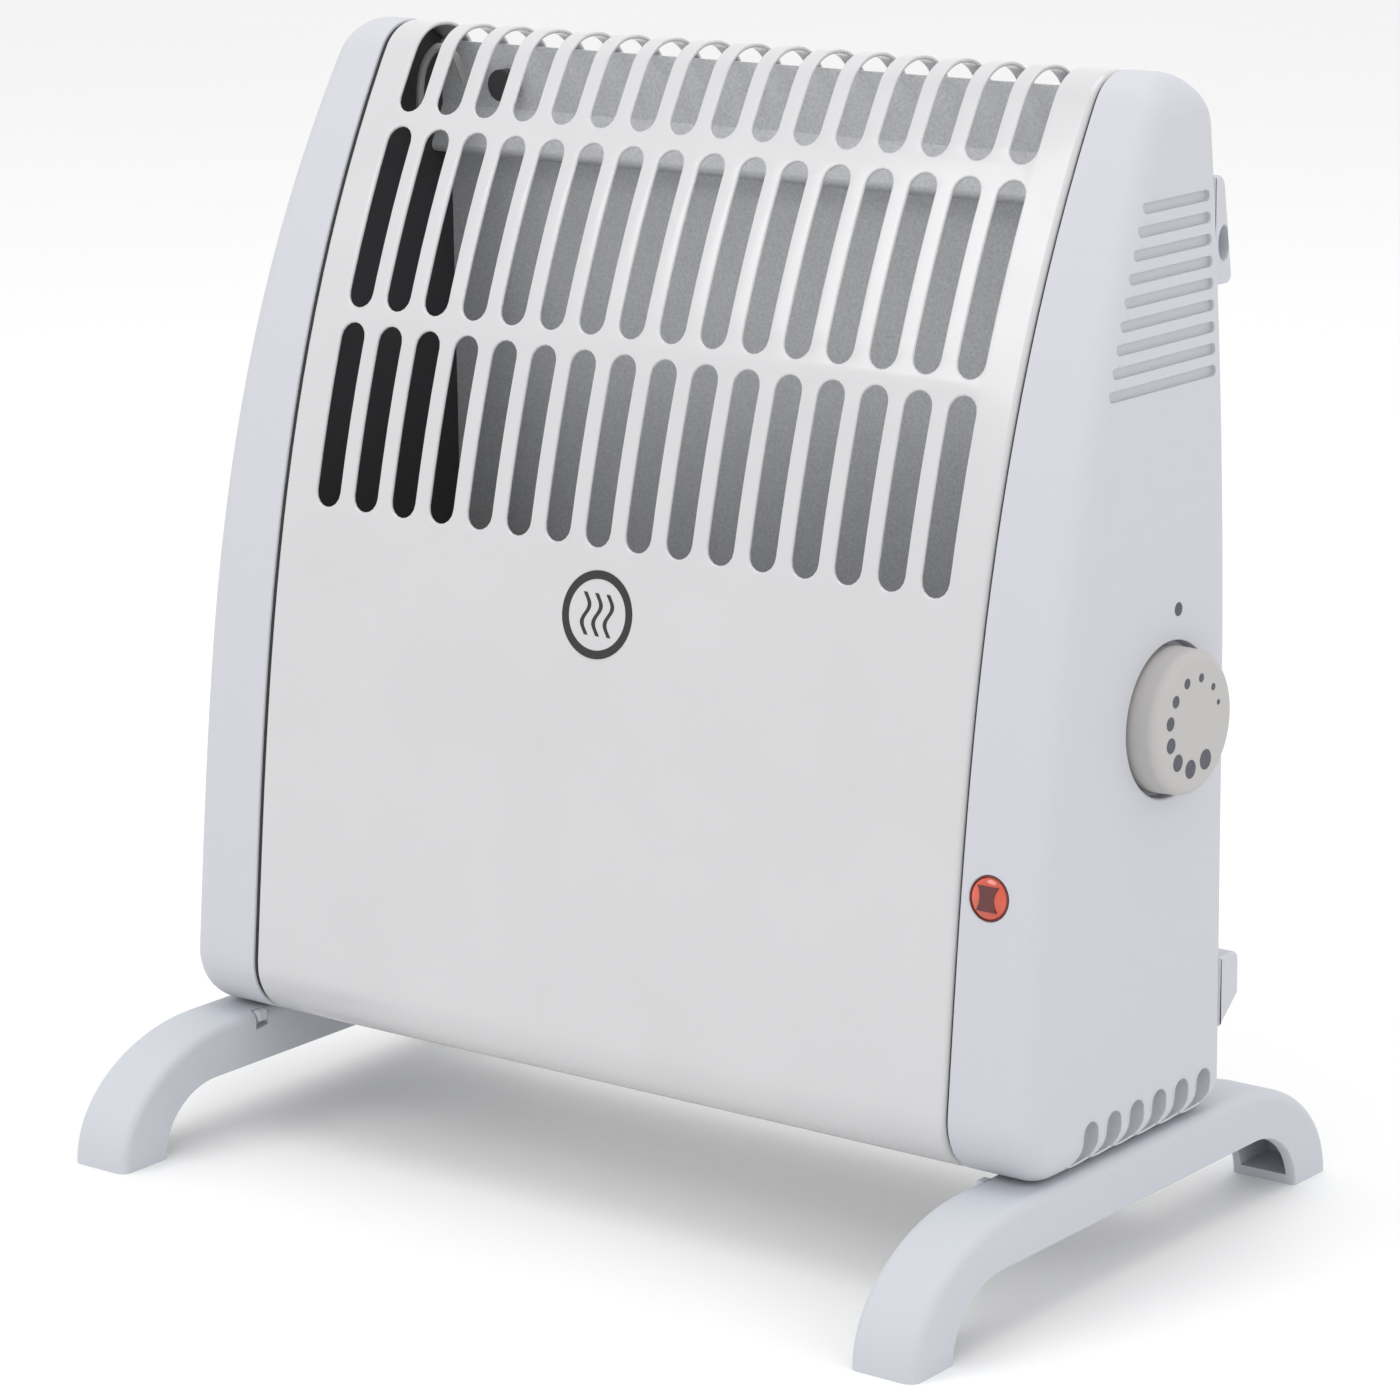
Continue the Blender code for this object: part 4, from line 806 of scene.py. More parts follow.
def cap_rings(wall, steps, lip):
    """Rings of (x, y, z) from the seam to the side face, set in by wall."""
    points = body_section()
    outward = mitres(points)
    rings = []
    for inwards, along in lip:
        seam = sizes().cap_seam + along
        rings.append([(seam, *(p - n * (wall + inwards))) for p, n in zip(points, outward)])
    for step in range(steps + 1):
        turn = math.pi / 2 * step / steps
        ring = []
        for p, n in zip(points, outward):
            radius = cap_edge_radius(n.normalized()) - wall
            x = HALF_WIDTH - wall - radius * (1 - math.sin(turn))
            ring.append((x, *(p - n * (wall + radius * (1 - math.cos(turn))))))
        rings.append(ring)
    return rings


def cap_shell(side):
    """A moulded cap, open towards the body, with its side face leaned in."""
    size = sizes()
    soft = 0.4 * MM
    lip = [(soft, 0.0), (soft * 0.3, soft * 0.3), (0.0, soft)]
    inner = cap_rings(size.cap_wall, 4, [(0.0, 0.0)])
    bm = bmesh.new()
    loft(bm, [*reversed(inner), *cap_rings(0.0, 10, lip)])
    strips = 25
    for level in range(strips):
        z = TAPER_START + (BODY_TOP - TAPER_START) * level / strips
        geometry = bm.verts[:] + bm.edges[:] + bm.faces[:]
        bmesh.ops.bisect_plane(bm, geom=geometry, plane_co=(0, 0, z), plane_no=(0, 0, 1), dist=1e-6)
    for vert in bm.verts:
        share = (side_x(vert.co.z) - size.cap_seam) / (HALF_WIDTH - size.cap_seam)
        vert.co.x = CENTRE_X + side * (size.cap_seam + (vert.co.x - size.cap_seam) * share)
    bmesh.ops.triangulate(bm, faces=bm.faces)
    return mesh_from(bm, "cap", merge=WELD)


def side_lean(z):
    """Angle of the side face at a height, from upright."""
    return math.atan((side_x(z - 1 * MM) - side_x(z + 1 * MM)) / (2 * MM))


def mirrored(side, x):
    """Local X to +Y, local Y up and local Z outwards, at x from the centre plane on one side."""
    mirror = Matrix.Translation((CENTRE_X, 0, 0)) @ Matrix.Diagonal((side, 1, 1, 1))
    return mirror @ Matrix.Translation((x, 0, 0)) @ ALONG_X


def side_place(side, z):
    """Local X to +Y, local Y up the side face and local Z out of it, at a height."""
    mirror = Matrix.Translation((CENTRE_X, 0, 0)) @ Matrix.Diagonal((side, 1, 1, 1))
    lean = Matrix.Rotation(-side_lean(z), 4, "Y")
    return mirror @ Matrix.Translation((side_x(z), 0, z)) @ lean @ ALONG_X


def pocket_levels(depth, floor_round, mouth_round, steps=3):
    """(height, growth) of a pocket's cutter: rounded where floor meets wall, and at its mouth."""
    turns = quarter(steps)
    floor = [(-depth + floor_round * (1 - math.cos(a)), -floor_round * (1 - math.sin(a))) for a in turns]
    mouth = [(-mouth_round * (1 - math.sin(a)), mouth_round * (1 - math.cos(a))) for a in turns]
    return [*floor, *mouth, (3 * MM, mouth_round)]


def groove_cutters(side):
    """Round-ended side grooves, from near the front to near the back."""
    size = sizes()
    cutters = []
    for i in range(GROOVE_COUNT):
        z = GROOVE_TOP - size.groove_pitch * i
        front, back, half = front_line(z) + 5.0 * MM, BACK_Y - 3.75 * MM, size.groove_height / 2
        ends = ((front, -half, 0.9), (back, -half, 1.15), (back, half, 1.15), (front, half, 0.9))
        corners = [(u, v, radius * MM) for u, v, radius in ends]
        levels = pocket_levels(size.groove_depth, 0.25 * MM, 0.18 * MM)
        cutters.append(stacked(rounded(corners, True, 5), levels, side_place(side, z)))
    return cutters


def seam_shade_strip(side):
    """A dark strip in the seam between the cover and a cap, a little below their faces: painted shade for the
    shadow in the gap, in the black rubber finish.
    """
    size = sizes()
    points = body_section()
    outward = mitres(points)
    body = bmesh.new()
    rings = []
    for depth, x in ((0.75, 0.0), (0.75, 1.0), (2.4, 1.0), (2.4, 0.0), (0.75, 0.0)):
        across = size.cover_half_width - 0.05 * MM + x * (size.cap_seam - size.cover_half_width + 0.1 * MM)
        rings.append([(CENTRE_X + side * across, *(p - n * depth * MM)) for p, n in zip(points, outward)])
    loft(body, rings, ends=False)
    return mesh_from(body, "strip", merge=WELD)


def vent_heads():
    """Y and Z of the middle of each scoop's round head."""
    size = sizes()
    return [(VENT_FIRST_Y + size.vent_pitch * i, VENT_TOP - size.vent_radius) for i in range(VENT_COUNT)]


def vent_lip(y, centre):
    """A scoop's lip in (y, z): round its head, then in a long S down and forwards to its tip."""
    radius = sizes().vent_radius
    turns = [math.radians(20 + 160 * step / 10) for step in range(11)]
    head = [(y + radius * math.cos(a), centre + radius * math.sin(a)) for a in turns]
    tail = ((0.1, 1.0), (0.35, 2.2), (1.0, 3.5), (2.1, 4.6), (3.4, 5.3), (4.6, 5.7))
    return head + [(y - radius - u * MM, centre - v * MM) for u, v in tail]


def vent_sill(y, centre):
    """A scoop's lower edge in (y, z), from its tip back to the next scoop's tip."""
    line = ((-6.4, -6.25), (-4.4, -6.6), (-2.4, -6.6), (-0.4, -6.25), (0.9, -5.75))
    return [(y + u * MM, centre + v * MM) for u, v in line]


def vent_cutters(side):
    """Drop-shaped scoops, drawn out forwards above the body's edge."""
    levels = pocket_levels(4.2 * MM, 0.9 * MM, 0.25 * MM, 4)
    cutters = []
    for y, centre in vent_heads():
        back = [(y + u * MM, centre - v * MM) for u, v in ((1.9, 4.8), (2.8, 3.2), (3.3, 1.2))]
        outline = vent_lip(y, centre) + vent_sill(y, centre) + back
        cutters.append(stacked(outline, levels, mirrored(side, HALF_WIDTH)))
    return cutters


def vent_beads(side):
    """Thin raised lips along the scoops."""
    edge = sizes().cap_edge_bottom
    curve = bpy.data.curves.new("beads", "CURVE")
    curve.dimensions = "3D"
    curve.bevel_depth = 0.32 * MM
    curve.bevel_resolution = 3
    curve.use_fill_caps = True
    for head in vent_heads():
        for line in (vent_lip(*head), vent_sill(*head)):
            spots = []
            for y, z in line:
                drop = max(0.0, BODY_BOTTOM + edge - z)
                x = HALF_WIDTH - edge + math.sqrt(edge**2 - drop**2) - 0.1 * MM
                spots.append((CENTRE_X + side * x, y, z))
            add_line(curve, spots)
    return mesh_from(from_curve(curve), "beads", merge=WELD)


def scoop_backing(side):
    """The thick bar of moulding behind the scoops, inside the rounded lower edge."""
    inset = 1.0 * MM
    radius = sizes().cap_edge_bottom - inset
    centre_x, centre_z = HALF_WIDTH - inset - radius, BODY_BOTTOM + inset + radius
    turns = quarter(6)
    arc = [(centre_x + radius * math.sin(a), centre_z - radius * math.cos(a)) for a in turns]
    high, inner = BODY_BOTTOM + 14.0 * MM, centre_x - 1.5 * MM
    corners = [*arc, (HALF_WIDTH - inset, high), (inner, high), (inner, arc[0][1])]
    outline = [(side * u, v) for u, v in corners]
    upright = Matrix(((1, 0, 0, CENTRE_X), (0, 0, 1, 0), (0, 1, 0, 0), (0, 0, 0, 1)))
    return stacked(outline, [(BACK_Y - 64 * MM, 0.0), (BACK_Y - 2.6 * MM, 0.0)], upright)


def screw_holes(side, high, low):
    """Cutters for the two foot screws, over and under the body's bottom."""
    places = [Matrix.Translation((CENTRE_X + side * FOOT_SCREW_X, y, BODY_BOTTOM)) for y in FOOT_SCREW_YS]
    return [plug(SCREW_HOLE, high, low, place) for place in places]


def lug_holes(side):
    """Cutters for the screws of both wall lugs."""
    places = [
        Matrix.Translation((CENTRE_X + side * LUG_SCREW_X, BACK_Y, middle(f"{level}_lug_screw_right").z))
        for level in ("upper", "lower")
    ]
    return [plug(SCREW_HOLE, 2 * MM, -5 * MM, place @ OUT_Y) for place in places]


def knob_place(x=0.0):
    return Matrix.Translation((CENTRE_X + x, KNOB_Y, KNOB_Z)) @ OUT_X


def dial_recess():
    """The dish behind the knob: what it adds inside the cap, and what it takes away."""
    size = sizes()
    radius = size.knob_radius + 1.2 * MM
    face = side_x(KNOB_Z)
    floor = face - RECESS_DEPTH
    lip = 0.5 * MM
    turns = quarter(4)
    mouth = [(radius + lip - lip * math.sin(a), face - lip + lip * math.cos(a)) for a in turns]
    foot = [(radius - lip + lip * math.cos(a), floor + lip - lip * math.sin(a)) for a in turns]
    dish = plug(radius + size.cap_wall, floor + 2 * MM, floor - 2 * MM, knob_place(), 96)
    pocket = [
        (0.0, face + 5 * MM), (radius + lip, face + 5 * MM), *mouth, *foot,
        (4.8 * MM, floor), (4.8 * MM, floor - 6 * MM), (0.0, floor - 6 * MM),
    ]
    return dish, turned(pocket, knob_place(), 96)


def front_place(x, z):
    """Local X to +X, local Y up the front and local Z out of it."""
    slope = (front_line(z + 1 * MM) - front_line(z - 1 * MM)) / (2 * MM)
    tilt = Matrix.Rotation(math.radians(90) - math.atan(slope), 4, "X")
    return Matrix.Translation((x, front_line(z), z)) @ tilt


def lamp_place():
    return front_place(middle("lamp_lens").x, BODY_BOTTOM + 66.1 * MM)


def cord_place():
    inlet = middle("cord_inlet")
    return Matrix.Translation((inlet.x, BACK_Y, inlet.z)) @ OUT_Y


def right_cap_cutters():
    """The holes for the lamp and the cord."""
    radius = sizes().lamp_radius
    lip = 0.35 * MM
    high, low = 4 * MM, -6 * MM
    mouth = [(radius + lip - lip * math.sin(a), -lip + lip * math.cos(a)) for a in quarter(3)]
    lamp = turned([(0.0, high), (radius + lip, high), *mouth, (radius, low), (0.0, low)], lamp_place())
    return [lamp, plug(5.3 * MM, high, low, cord_place(), 64)]


def end_cap(side):
    """One cap with its grooves, scoops and holes; the right one has the dial's recess too."""
    shell = carve(cap_shell(side), [scoop_backing(side)], "UNION")
    if side > 0:
        dish, pocket = dial_recess()
        shell = carve(carve(shell, right_cap_cutters()), [dish], "UNION")
        shell = carve(shell, [pocket])
    holes = [*screw_holes(side, 6 * MM, -2 * MM), *lug_holes(side)]
    return carve(shell, [*groove_cutters(side), *vent_cutters(side), *holes])


# Feet


def foot_outline():
    """Arched bar from the side: a low curve to each toe above, an arch below."""
    start, inner = FOOT_HALF_LENGTH - FOOT_END_RUN, FOOT_HALF_LENGTH - FOOT_TOE
    run, height = FOOT_ARCH
    right = [(start + FOOT_END_RUN * math.sin(a), FOOT_TOP * math.cos(a)) for a in quarter(16)]
    arch = [(inner - run * (1 - math.cos(a)), height * math.sin(a)) for a in quarter(16)]
    points = right + arch
    return points + [(-y, z) for y, z in reversed(points)]


def foot_hollow(wall):
    """The space under the foot, a wall's thickness inside it and open at the arch."""
    top, run = FOOT_TOP - wall, FOOT_END_RUN - wall
    start, inner = FOOT_HALF_LENGTH - FOOT_END_RUN, FOOT_HALF_LENGTH - FOOT_TOE
    last = math.acos(wall / top)
    turns = [last * step / 10 for step in range(11)]
    right = [(start + run * math.sin(a), top * math.cos(a)) for a in turns]
    points = [*right, (inner - wall, wall), (inner - wall, -2 * MM)]
    return points + [(-y, z) for y, z in reversed(points)]


def foot_reach(point, outward):
    """How a foot's outline follows its edges: full above, little at the arch, level on the ground."""
    little = 0.22
    if abs(point.y) < 1e-7:
        outer = abs(point.x) > FOOT_HALF_LENGTH - FOOT_TOE / 2
        return Vector((math.copysign(1.0 if outer else little, outward.x), 0.0))
    rise = max(0.0, abs(point.x) - (FOOT_HALF_LENGTH - FOOT_END_RUN)) / FOOT_END_RUN
    on_top = point.y > FOOT_TOP * math.sqrt(max(0.0, 1 - rise**2)) - 0.5 * MM
    return outward if on_top else outward * little


def foot_width():
    low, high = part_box("right_foot")
    return high.x - low.x


def hook_y():
    """Front end of the notch in a foot's inner side."""
    return front_line(BODY_BOTTOM) + 6.5 * MM


def foot(side):
    """An arched foot, hollow below, with its screw holes and the notch in its inner side."""
    size = sizes()
    width, wall = foot_width(), size.foot_wall
    place = mirrored(side, HALF_WIDTH - width)
    levels = stations(width, size.foot_edge * 0.8, size.foot_edge, 6)
    body = stacked(foot_outline(), levels, place, foot_reach)
    hollow = stacked(foot_hollow(wall), [(wall, 0.0), (width - wall, 0.0)], place)
    front, back = hook_y(), hook_y() + 4.3 * MM
    low, high = BODY_BOTTOM - 4.9 * MM, BODY_BOTTOM + 1.0 * MM
    notch = [(front, low), (back, low + 0.6 * MM), (back, high), (front, high)]
    notch = stacked(notch, [(-1.0 * MM, 0.0), (2.0 * MM, 0.0)], place)
    bmesh.ops.triangulate(body, faces=body.faces)
    return carve(mesh_from(body, "foot"), [hollow, *screw_holes(side, 2 * MM, -5 * MM), notch])


def foot_hook(side):
    """The small tab of the body that hangs in the notch of a foot's inner side."""
    front, back = hook_y() + 0.75 * MM, hook_y() + 3.85 * MM
    low, high = BODY_BOTTOM - 3.0 * MM, BODY_BOTTOM - 0.35 * MM
    corners = [(front, low, 0.5 * MM), (back, low, 0.5 * MM), (back, high, 0.0), (front, high, 0.0)]
    place = mirrored(side, HALF_WIDTH - foot_width() - 0.4 * MM)
    return mesh_from(stacked(rounded(corners, True, 4), stations(2.0 * MM, 0.3 * MM, 0.0, 3), place), "hook")


# Knob, lamp and prints


def knob_body():
    """A cup with a rounded rim and a hub, turned round the spindle's axis."""
    size = sizes()
    depth = KNOB_PROUD + RECESS_DEPTH - 0.6 * MM
    rim, radius, bore = size.knob_rim, size.knob_radius, 3.3 * MM
    turns = quarter(8)
    draft = 0.25 * MM
    rounding = [(radius - draft - rim + rim * math.sin(a), -rim + rim * math.cos(a)) for a in turns]
    inside = radius - 2.4 * MM
    profile = [
        (0.0, 0.0), (radius * 0.5, 0.0), *rounding, (radius, -depth + 0.3 * MM), (radius - 0.3 * MM, -depth),
        (inside, -depth), (inside, -rim), (inside - 1.5 * MM, -2.4 * MM), (5.6 * MM, -2.4 * MM),
        (5.6 * MM, -5.8 * MM), (bore, -5.8 * MM), (bore, -2.4 * MM), (0.0, -2.4 * MM),
    ]
    return mesh_from(turned(profile, knob_place(side_x(KNOB_Z) + KNOB_PROUD), 128), "knob")


def printed_disc(place, radius, thick=0.06 * MM):
    """A dot of ink with a soft edge, sunk a little into the face below it."""
    edge = thick * 0.8
    profile = [(0.0, thick), (radius - edge, thick), (radius, thick - edge)]
    profile += [(radius, -PRINT_DEPTH), (0.0, -PRINT_DEPTH)]
    return turned(profile, place, 40)


def dial_dots():
    """Ten dots round the knob's face that grow from the low setting to the high one."""
    face = side_x(KNOB_Z) + KNOB_PROUD
    turns = (16.9, 42.4, 75.6, 108.9, 140.7, 169.4, 197.8, 228.0, 261.0, 296.9)
    dots = []
    for i, degrees in enumerate(turns):
        a = math.radians(degrees)
        y, z = KNOB_Y + DOT_CIRCLE * math.cos(a), KNOB_Z + DOT_CIRCLE * math.sin(a)
        place = Matrix.Translation((CENTRE_X + face, y, z)) @ OUT_X
        dots.append(printed_disc(place, (0.67 + 0.19 * i) * MM))
    return mesh_from(joined(dots), "dots")


def pointer_dot():
    z = BODY_TOP - 119.0 * MM
    lean = Matrix.Rotation(-side_lean(z), 4, "Y")
    place = Matrix.Translation((CENTRE_X + side_x(z), 16.8 * MM, z)) @ lean @ OUT_X
    return mesh_from(printed_disc(place, 1.6 * MM), "pointer")


def lamp_lens():
    radius = sizes().lamp_radius - 0.3 * MM
    turns = quarter(8)
    dome = [(radius * math.sin(a), -0.45 * MM + LENS_CROWN * math.cos(a)) for a in turns]
    profile = [*dome, (radius, -3 * MM), (0.0, -3 * MM)]
    return mesh_from(turned(profile, lamp_place(), 64), "lens")


def lamp_mask():
    """The dark shape in the lens: a bar with hollow sides and flared corners."""
    half, flare, waist = 2.9 * MM, 2.75 * MM, 1.95 * MM
    heights = [-half + 2 * half * step / 10 for step in range(11)]
    right = [(waist + (flare - waist) * (v / half) ** 2, v) for v in heights]
    outline = [(-u, v) for u, v in right] + right[::-1]
    levels = [(0.2 * MM, -0.05 * MM), (0.93 * MM, -0.05 * MM), (0.96 * MM, -0.12 * MM)]
    return mesh_from(stacked(outline, levels, lamp_place()), "mask")


def lamp_ring():
    """The thin dark bead between the lens and its hole."""
    radius = sizes().lamp_radius
    bead = ((0.35, -1.0), (0.35, 0.02), (0.25, 0.1), (0.1, 0.06), (0.02, -0.05), (0.02, -1.0), (0.35, -1.0))
    profile = [(radius - inwards * MM, height * MM) for inwards, height in bead]
    return mesh_from(turned(profile, lamp_place(), 64), "ring")


def heat_mark():
    """A plain ring round three rising waves, printed on the cover."""
    radius, band = sizes().mark_radius, 2.0 * MM
    high, low = 0.05 * MM, -0.3 * MM
    place = front_place(CENTRE_X - 3.3 * MM, BODY_TOP - 128.1 * MM)
    inner = radius - band
    parts = [turned([(inner, high), (radius, high), (radius, low), (inner, low), (inner, high)], place, 96)]
    wave, swing, half_stroke, steps = 10.0 * MM, 0.9 * MM, 0.55 * MM, 24
    heights = [-wave / 2 + wave * step / steps for step in range(steps + 1)]
    for u in (-3.4 * MM, 0.0, 3.4 * MM):
        line = [(u + swing * math.sin(v / wave * math.tau * 1.25), v) for v in heights]
        left = [(a - half_stroke, b) for a, b in line]
        right = [(a + half_stroke, b) for a, b in line]
        parts.append(stacked(left + right[::-1], [(low, 0.0), (high, 0.0)], place))
    return mesh_from(joined(parts), "mark")


# Lugs, screws and sheet pieces


def wall_lug(side, level):
    """A lug against the cap's back, with a bore for its screw; the upper one has an oval eye."""
    near, far = BACK_Y + 0.3 * MM, BACK_Y + 8.5 * MM
    if level == "upper":
        low, high = BODY_TOP - 49.1 * MM, BODY_TOP - 24.1 * MM
        wall_face = [(far, low, 1.8 * MM), (far - 3.8 * MM, high, 3.0 * MM)]
    else:
        low, high = BODY_BOTTOM + 18.7 * MM, BODY_BOTTOM + 36.0 * MM
        wall_face = [(far, low + 6.9 * MM, 1.0 * MM), (far, high, 2.2 * MM)]
    corners = [(near, low, 0.4 * MM), *wall_face, (near, high, 0.4 * MM)]
    outer, inner = side_x(high) - 1.0 * MM, HALF_WIDTH - 18.5 * MM
    levels = stations(outer - inner, 0.5 * MM, 0.7 * MM, 4)
    body = stacked(rounded(corners, True, 6), levels, mirrored(side, inner))
    z = middle(f"{level}_lug_screw_right").z
    face = Matrix.Translation((CENTRE_X + side * LUG_SCREW_X, 0, z)) @ OUT_Y
    head, seat, end = 4.2 * MM, BACK_Y + 2.5 * MM, BACK_Y - 2 * MM
    bore = [(0.0, far + 2 * MM), (head, far + 2 * MM), (head, seat)]
    bore += [(SCREW_HOLE, seat), (SCREW_HOLE, end), (0.0, end)]
    cutters = [turned(bore, face, 48)]
    if level == "upper":
        eye = oval(far - 3.95 * MM, low + 9.4 * MM, 2.2 * MM, 3.95 * MM, 36)
        flared = [(-6 * MM, 0.0), (-0.3 * MM, 0.0), (0.0, 0.25 * MM), (1 * MM, 0.25 * MM)]
        cutters.append(stacked(eye, flared, mirrored(side, outer)))
    return carve(mesh_from(body, "lug"), cutters)


def screw(place, head_radius, head, shank):
    """A pan-head screw with a cross recess; its head rises along local Z from its seat."""
    turns = quarter(6)
    crown = [(head_radius * math.sin(a), head * (0.35 + 0.65 * math.cos(a))) for a in turns]
    profile = [*crown, (head_radius, 0.0), (SCREW_SHANK, 0.0), (SCREW_SHANK, -shank + 1.2 * MM)]
    profile += [(0.5 * MM, -shank), (0, -shank)]
    body = mesh_from(turned(profile, Matrix(), 48), "screw")
    arm, reach = 0.45 * MM, 1.75 * MM
    plus = [
        (arm, arm), (reach, arm), (reach, -arm), (arm, -arm), (arm, -reach), (-arm, -reach),
        (-arm, -arm), (-reach, -arm), (-reach, arm), (-arm, arm), (-arm, reach), (arm, reach),
    ]
    recess = stacked(plus, [(head - 1.5 * MM, -0.25 * MM), (head + 0.5 * MM, 0.1 * MM)], Matrix())
    made = carve(body, [recess])
    made.transform(place)
    return made


def folded_panel():
    """The rear panel: one sheet with rounded folds, a shelf and a slope near its top."""
    wall, outer, shelf = 0.8 * MM, BACK_Y - 0.8 * MM, BODY_TOP - 33.2 * MM
    low = BODY_BOTTOM + 3 * MM
    corners = [
        (outer - 10 * MM, low, 0.0),
        (outer, low, 1.6 * MM),
        (outer, shelf, 1.2 * MM),
        (outer - 8.0 * MM, shelf + 1.0 * MM, 1.0 * MM),
        (outer - 3.0 * MM, BODY_TOP - 21.7 * MM, 1.5 * MM),
        (outer - 3.0 * MM, BODY_TOP - 5.7 * MM, 0.0),
    ]
    line = rounded(corners, False, 6)
    inner = [p + n * wall for p, n in zip(line, mitres(line, closed=False))]
    # its side edges rest on the end plates
    reach = 0.32 * MM
    low_x, high_x = (corner.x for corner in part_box("rear_panel"))
    low_x, high_x = low_x - reach, high_x + reach
    place = Matrix.Translation((low_x, 0, 0)) @ ALONG_X
    return mesh_from(stacked(line + inner[::-1], [(0.0, 0.0), (high_x - low_x, 0.0)], place), "panel")


def cord_sleeve():
    """A grommet with a ribbed sleeve for the cord."""
    hole, bore = 5.0 * MM, 2.6 * MM
    ribs = []
    for i in range(3):
        height, grown = 5.9 * MM - i * 1.2 * MM, i * 0.75 * MM
        outer, groove = bore + 1.7 * MM + grown, bore + 1.4 * MM + grown
        ribs += [(outer, height), (outer, height - 0.7 * MM)]
        ribs += [(groove, height - 0.85 * MM), (groove, height - 1.1 * MM)]
    profile = [
        (bore, 7 * MM), (bore + 1.3 * MM, 7 * MM), (bore + 1.6 * MM, 6.7 * MM), *ribs,
        (6.4 * MM, 1.9 * MM), (6.8 * MM, 1.5 * MM), (6.8 * MM, 0.3 * MM), (hole, 0.3 * MM), (hole, -2.5 * MM),
        (6.2 * MM, -2.5 * MM), (6.2 * MM, -4.7 * MM), (bore, -4.7 * MM), (bore, 7 * MM),
    ]
    return mesh_from(turned(profile, cord_place(), 64), "sleeve")


# Stage


def floor_material():
    surface = Surface("studio_floor", colours().floor, 0.6)
    surface.tint(surface.noise(3.0, 3.0), 0.99, 1.0)
    surface.rough(surface.noise(9.0, 2.0), 0.55, 0.65)
    return surface.material


def area_light(name, place, target, size, power):
    light = bpy.data.lights.new(name, "AREA")
    light.shape = "DISK"
    light.size = size
    light.energy = power
    lamp = linked(name, light)
    lamp.location = place
    lamp.rotation_euler = (Vector(target) - Vector(place)).to_track_quat("-Z", "Y").to_euler()


class HeaterStage(bpy.types.PropertyGroup):
    """Camera and light."""

    azimuth: angle("Azimuth", "Camera's turn to the right of the front", 37.677)
    height_angle: angle("Height Angle", "Camera's angle above the level", 13.818)
    roll: angle("Roll", "Camera's roll", -0.701)
    place: bpy.props.FloatVectorProperty(
        name="Camera Place",
        description="Camera's place",
        default=(0.69865, -0.90505, 0.3990),
        subtype="TRANSLATION",
    )
    focal_length: bpy.props.FloatProperty(
        name="Focal Length", description="Lens for a 36 mm sensor", default=126.8, unit="CAMERA"
    )
    key_power: bpy.props.FloatProperty(
        name="Key Light", description="Power of the key light", default=10.5, unit="POWER"
    )
    world_strength: bpy.props.FloatProperty(
        name="Surrounding Light", description="Strength of the even light", default=1.0
    )


def build_stage():
    """A white floor, even light with three soft lamps, and the camera."""
    stage = bpy.context.scene.heater_stage
    bm = bmesh.new()
    bmesh.ops.create_grid(bm, x_segments=2, y_segments=2, size=6.0)
    mesh = bpy.data.meshes.new("studio_floor")
    bm.to_mesh(mesh)
    bm.free()
    mesh.materials.append(floor_material())
    linked("studio_floor", mesh)
    world = bpy.data.worlds.new("studio")
    world.use_nodes = True
    background = world.node_tree.nodes["Background"].inputs
    background["Color"].default_value = (1.0, 1.0, 1.0, 1.0)
    background["Strength"].default_value = stage.world_strength
    bpy.context.scene.world = world
    bpy.context.scene.view_settings.view_transform = "Standard"
    target = (0.0, 0.0, 0.13)
    area_light("key_light", (-0.9, -1.7, 1.5), target, 1.1, stage.key_power)
    area_light("top_light", (0.1, 0.1, 1.9), target, 1.4, stage.key_power * 0.8)
    area_light("side_light", (1.9, -0.3, 0.9), target, 1.2, stage.key_power * 0.45)
    lens = bpy.data.cameras.new("camera")
    lens.lens = stage.focal_length
    lens.sensor_width = 36.0
    lens.clip_start = 0.05
    camera = linked("camera", lens)
    azimuth, rise, roll = stage.azimuth, stage.height_angle, stage.roll
    level = math.cos(rise)
    back = Vector((math.sin(azimuth) * level, -math.cos(azimuth) * level, math.sin(rise)))
    right = Vector((0, 0, 1)).cross(back).normalized()
    up = back.cross(right)
    turned_right = math.cos(roll) * right + math.sin(roll) * up
    turned_up = math.cos(roll) * up - math.sin(roll) * right
    matrix = Matrix((turned_right, turned_up, back)).transposed().to_4x4()
    matrix.translation = stage.place
    camera.matrix_world = matrix
    bpy.context.scene.camera = camera


# Operators


class HEATER_OT_stage(bpy.types.Operator):
    """Floor, lights and camera"""

    bl_idname = "heater.stage"
    bl_label = "Stage"

    def execute(self, context):
        build_stage()
        return {"FINISHED"}


class HEATER_OT_front_cover(bpy.types.Operator):
    """Enamelled cover with its three rows of slots"""

    bl_idname = "heater.front_cover"
    bl_label = "Front Cover"

    def execute(self, context):
        piece("front_sheet", slotted_cover(), finish("stove_enamel"), ["front_cover"])
        return {"FINISHED"}


class HEATER_OT_end_caps(bpy.types.Operator):
    """Moulded end caps with grooves and scoops"""

    bl_idname = "heater.end_caps"
    bl_label = "End Caps"

    def execute(self, context):
        for name, side in SIDES:
            plastic, nodes = finish("cap_plastic"), [f"{name}_end_cap"]
            piece(f"{name}_cap", end_cap(side), plastic, nodes, sharp=50.0)
            piece(f"{name}_scoop_lips", vent_beads(side), plastic)
            # painted shade: a black strip sunk in each seam stands for the shadow in the gap between the
            # cover and the cap
            piece(f"{name}_seam_shade_strip", seam_shade_strip(side), finish("black_rubber"))
        return {"FINISHED"}


class HEATER_OT_feet(bpy.types.Operator):
    """Arched feet"""

    bl_idname = "heater.feet"
    bl_label = "Feet"

    def execute(self, context):
        for name, side in SIDES:
            plastic, nodes = finish("foot_plastic"), [f"{name}_foot"]
            piece(f"{name}_arched_foot", foot(side), plastic, nodes, sharp=50.0)
        return {"FINISHED"}


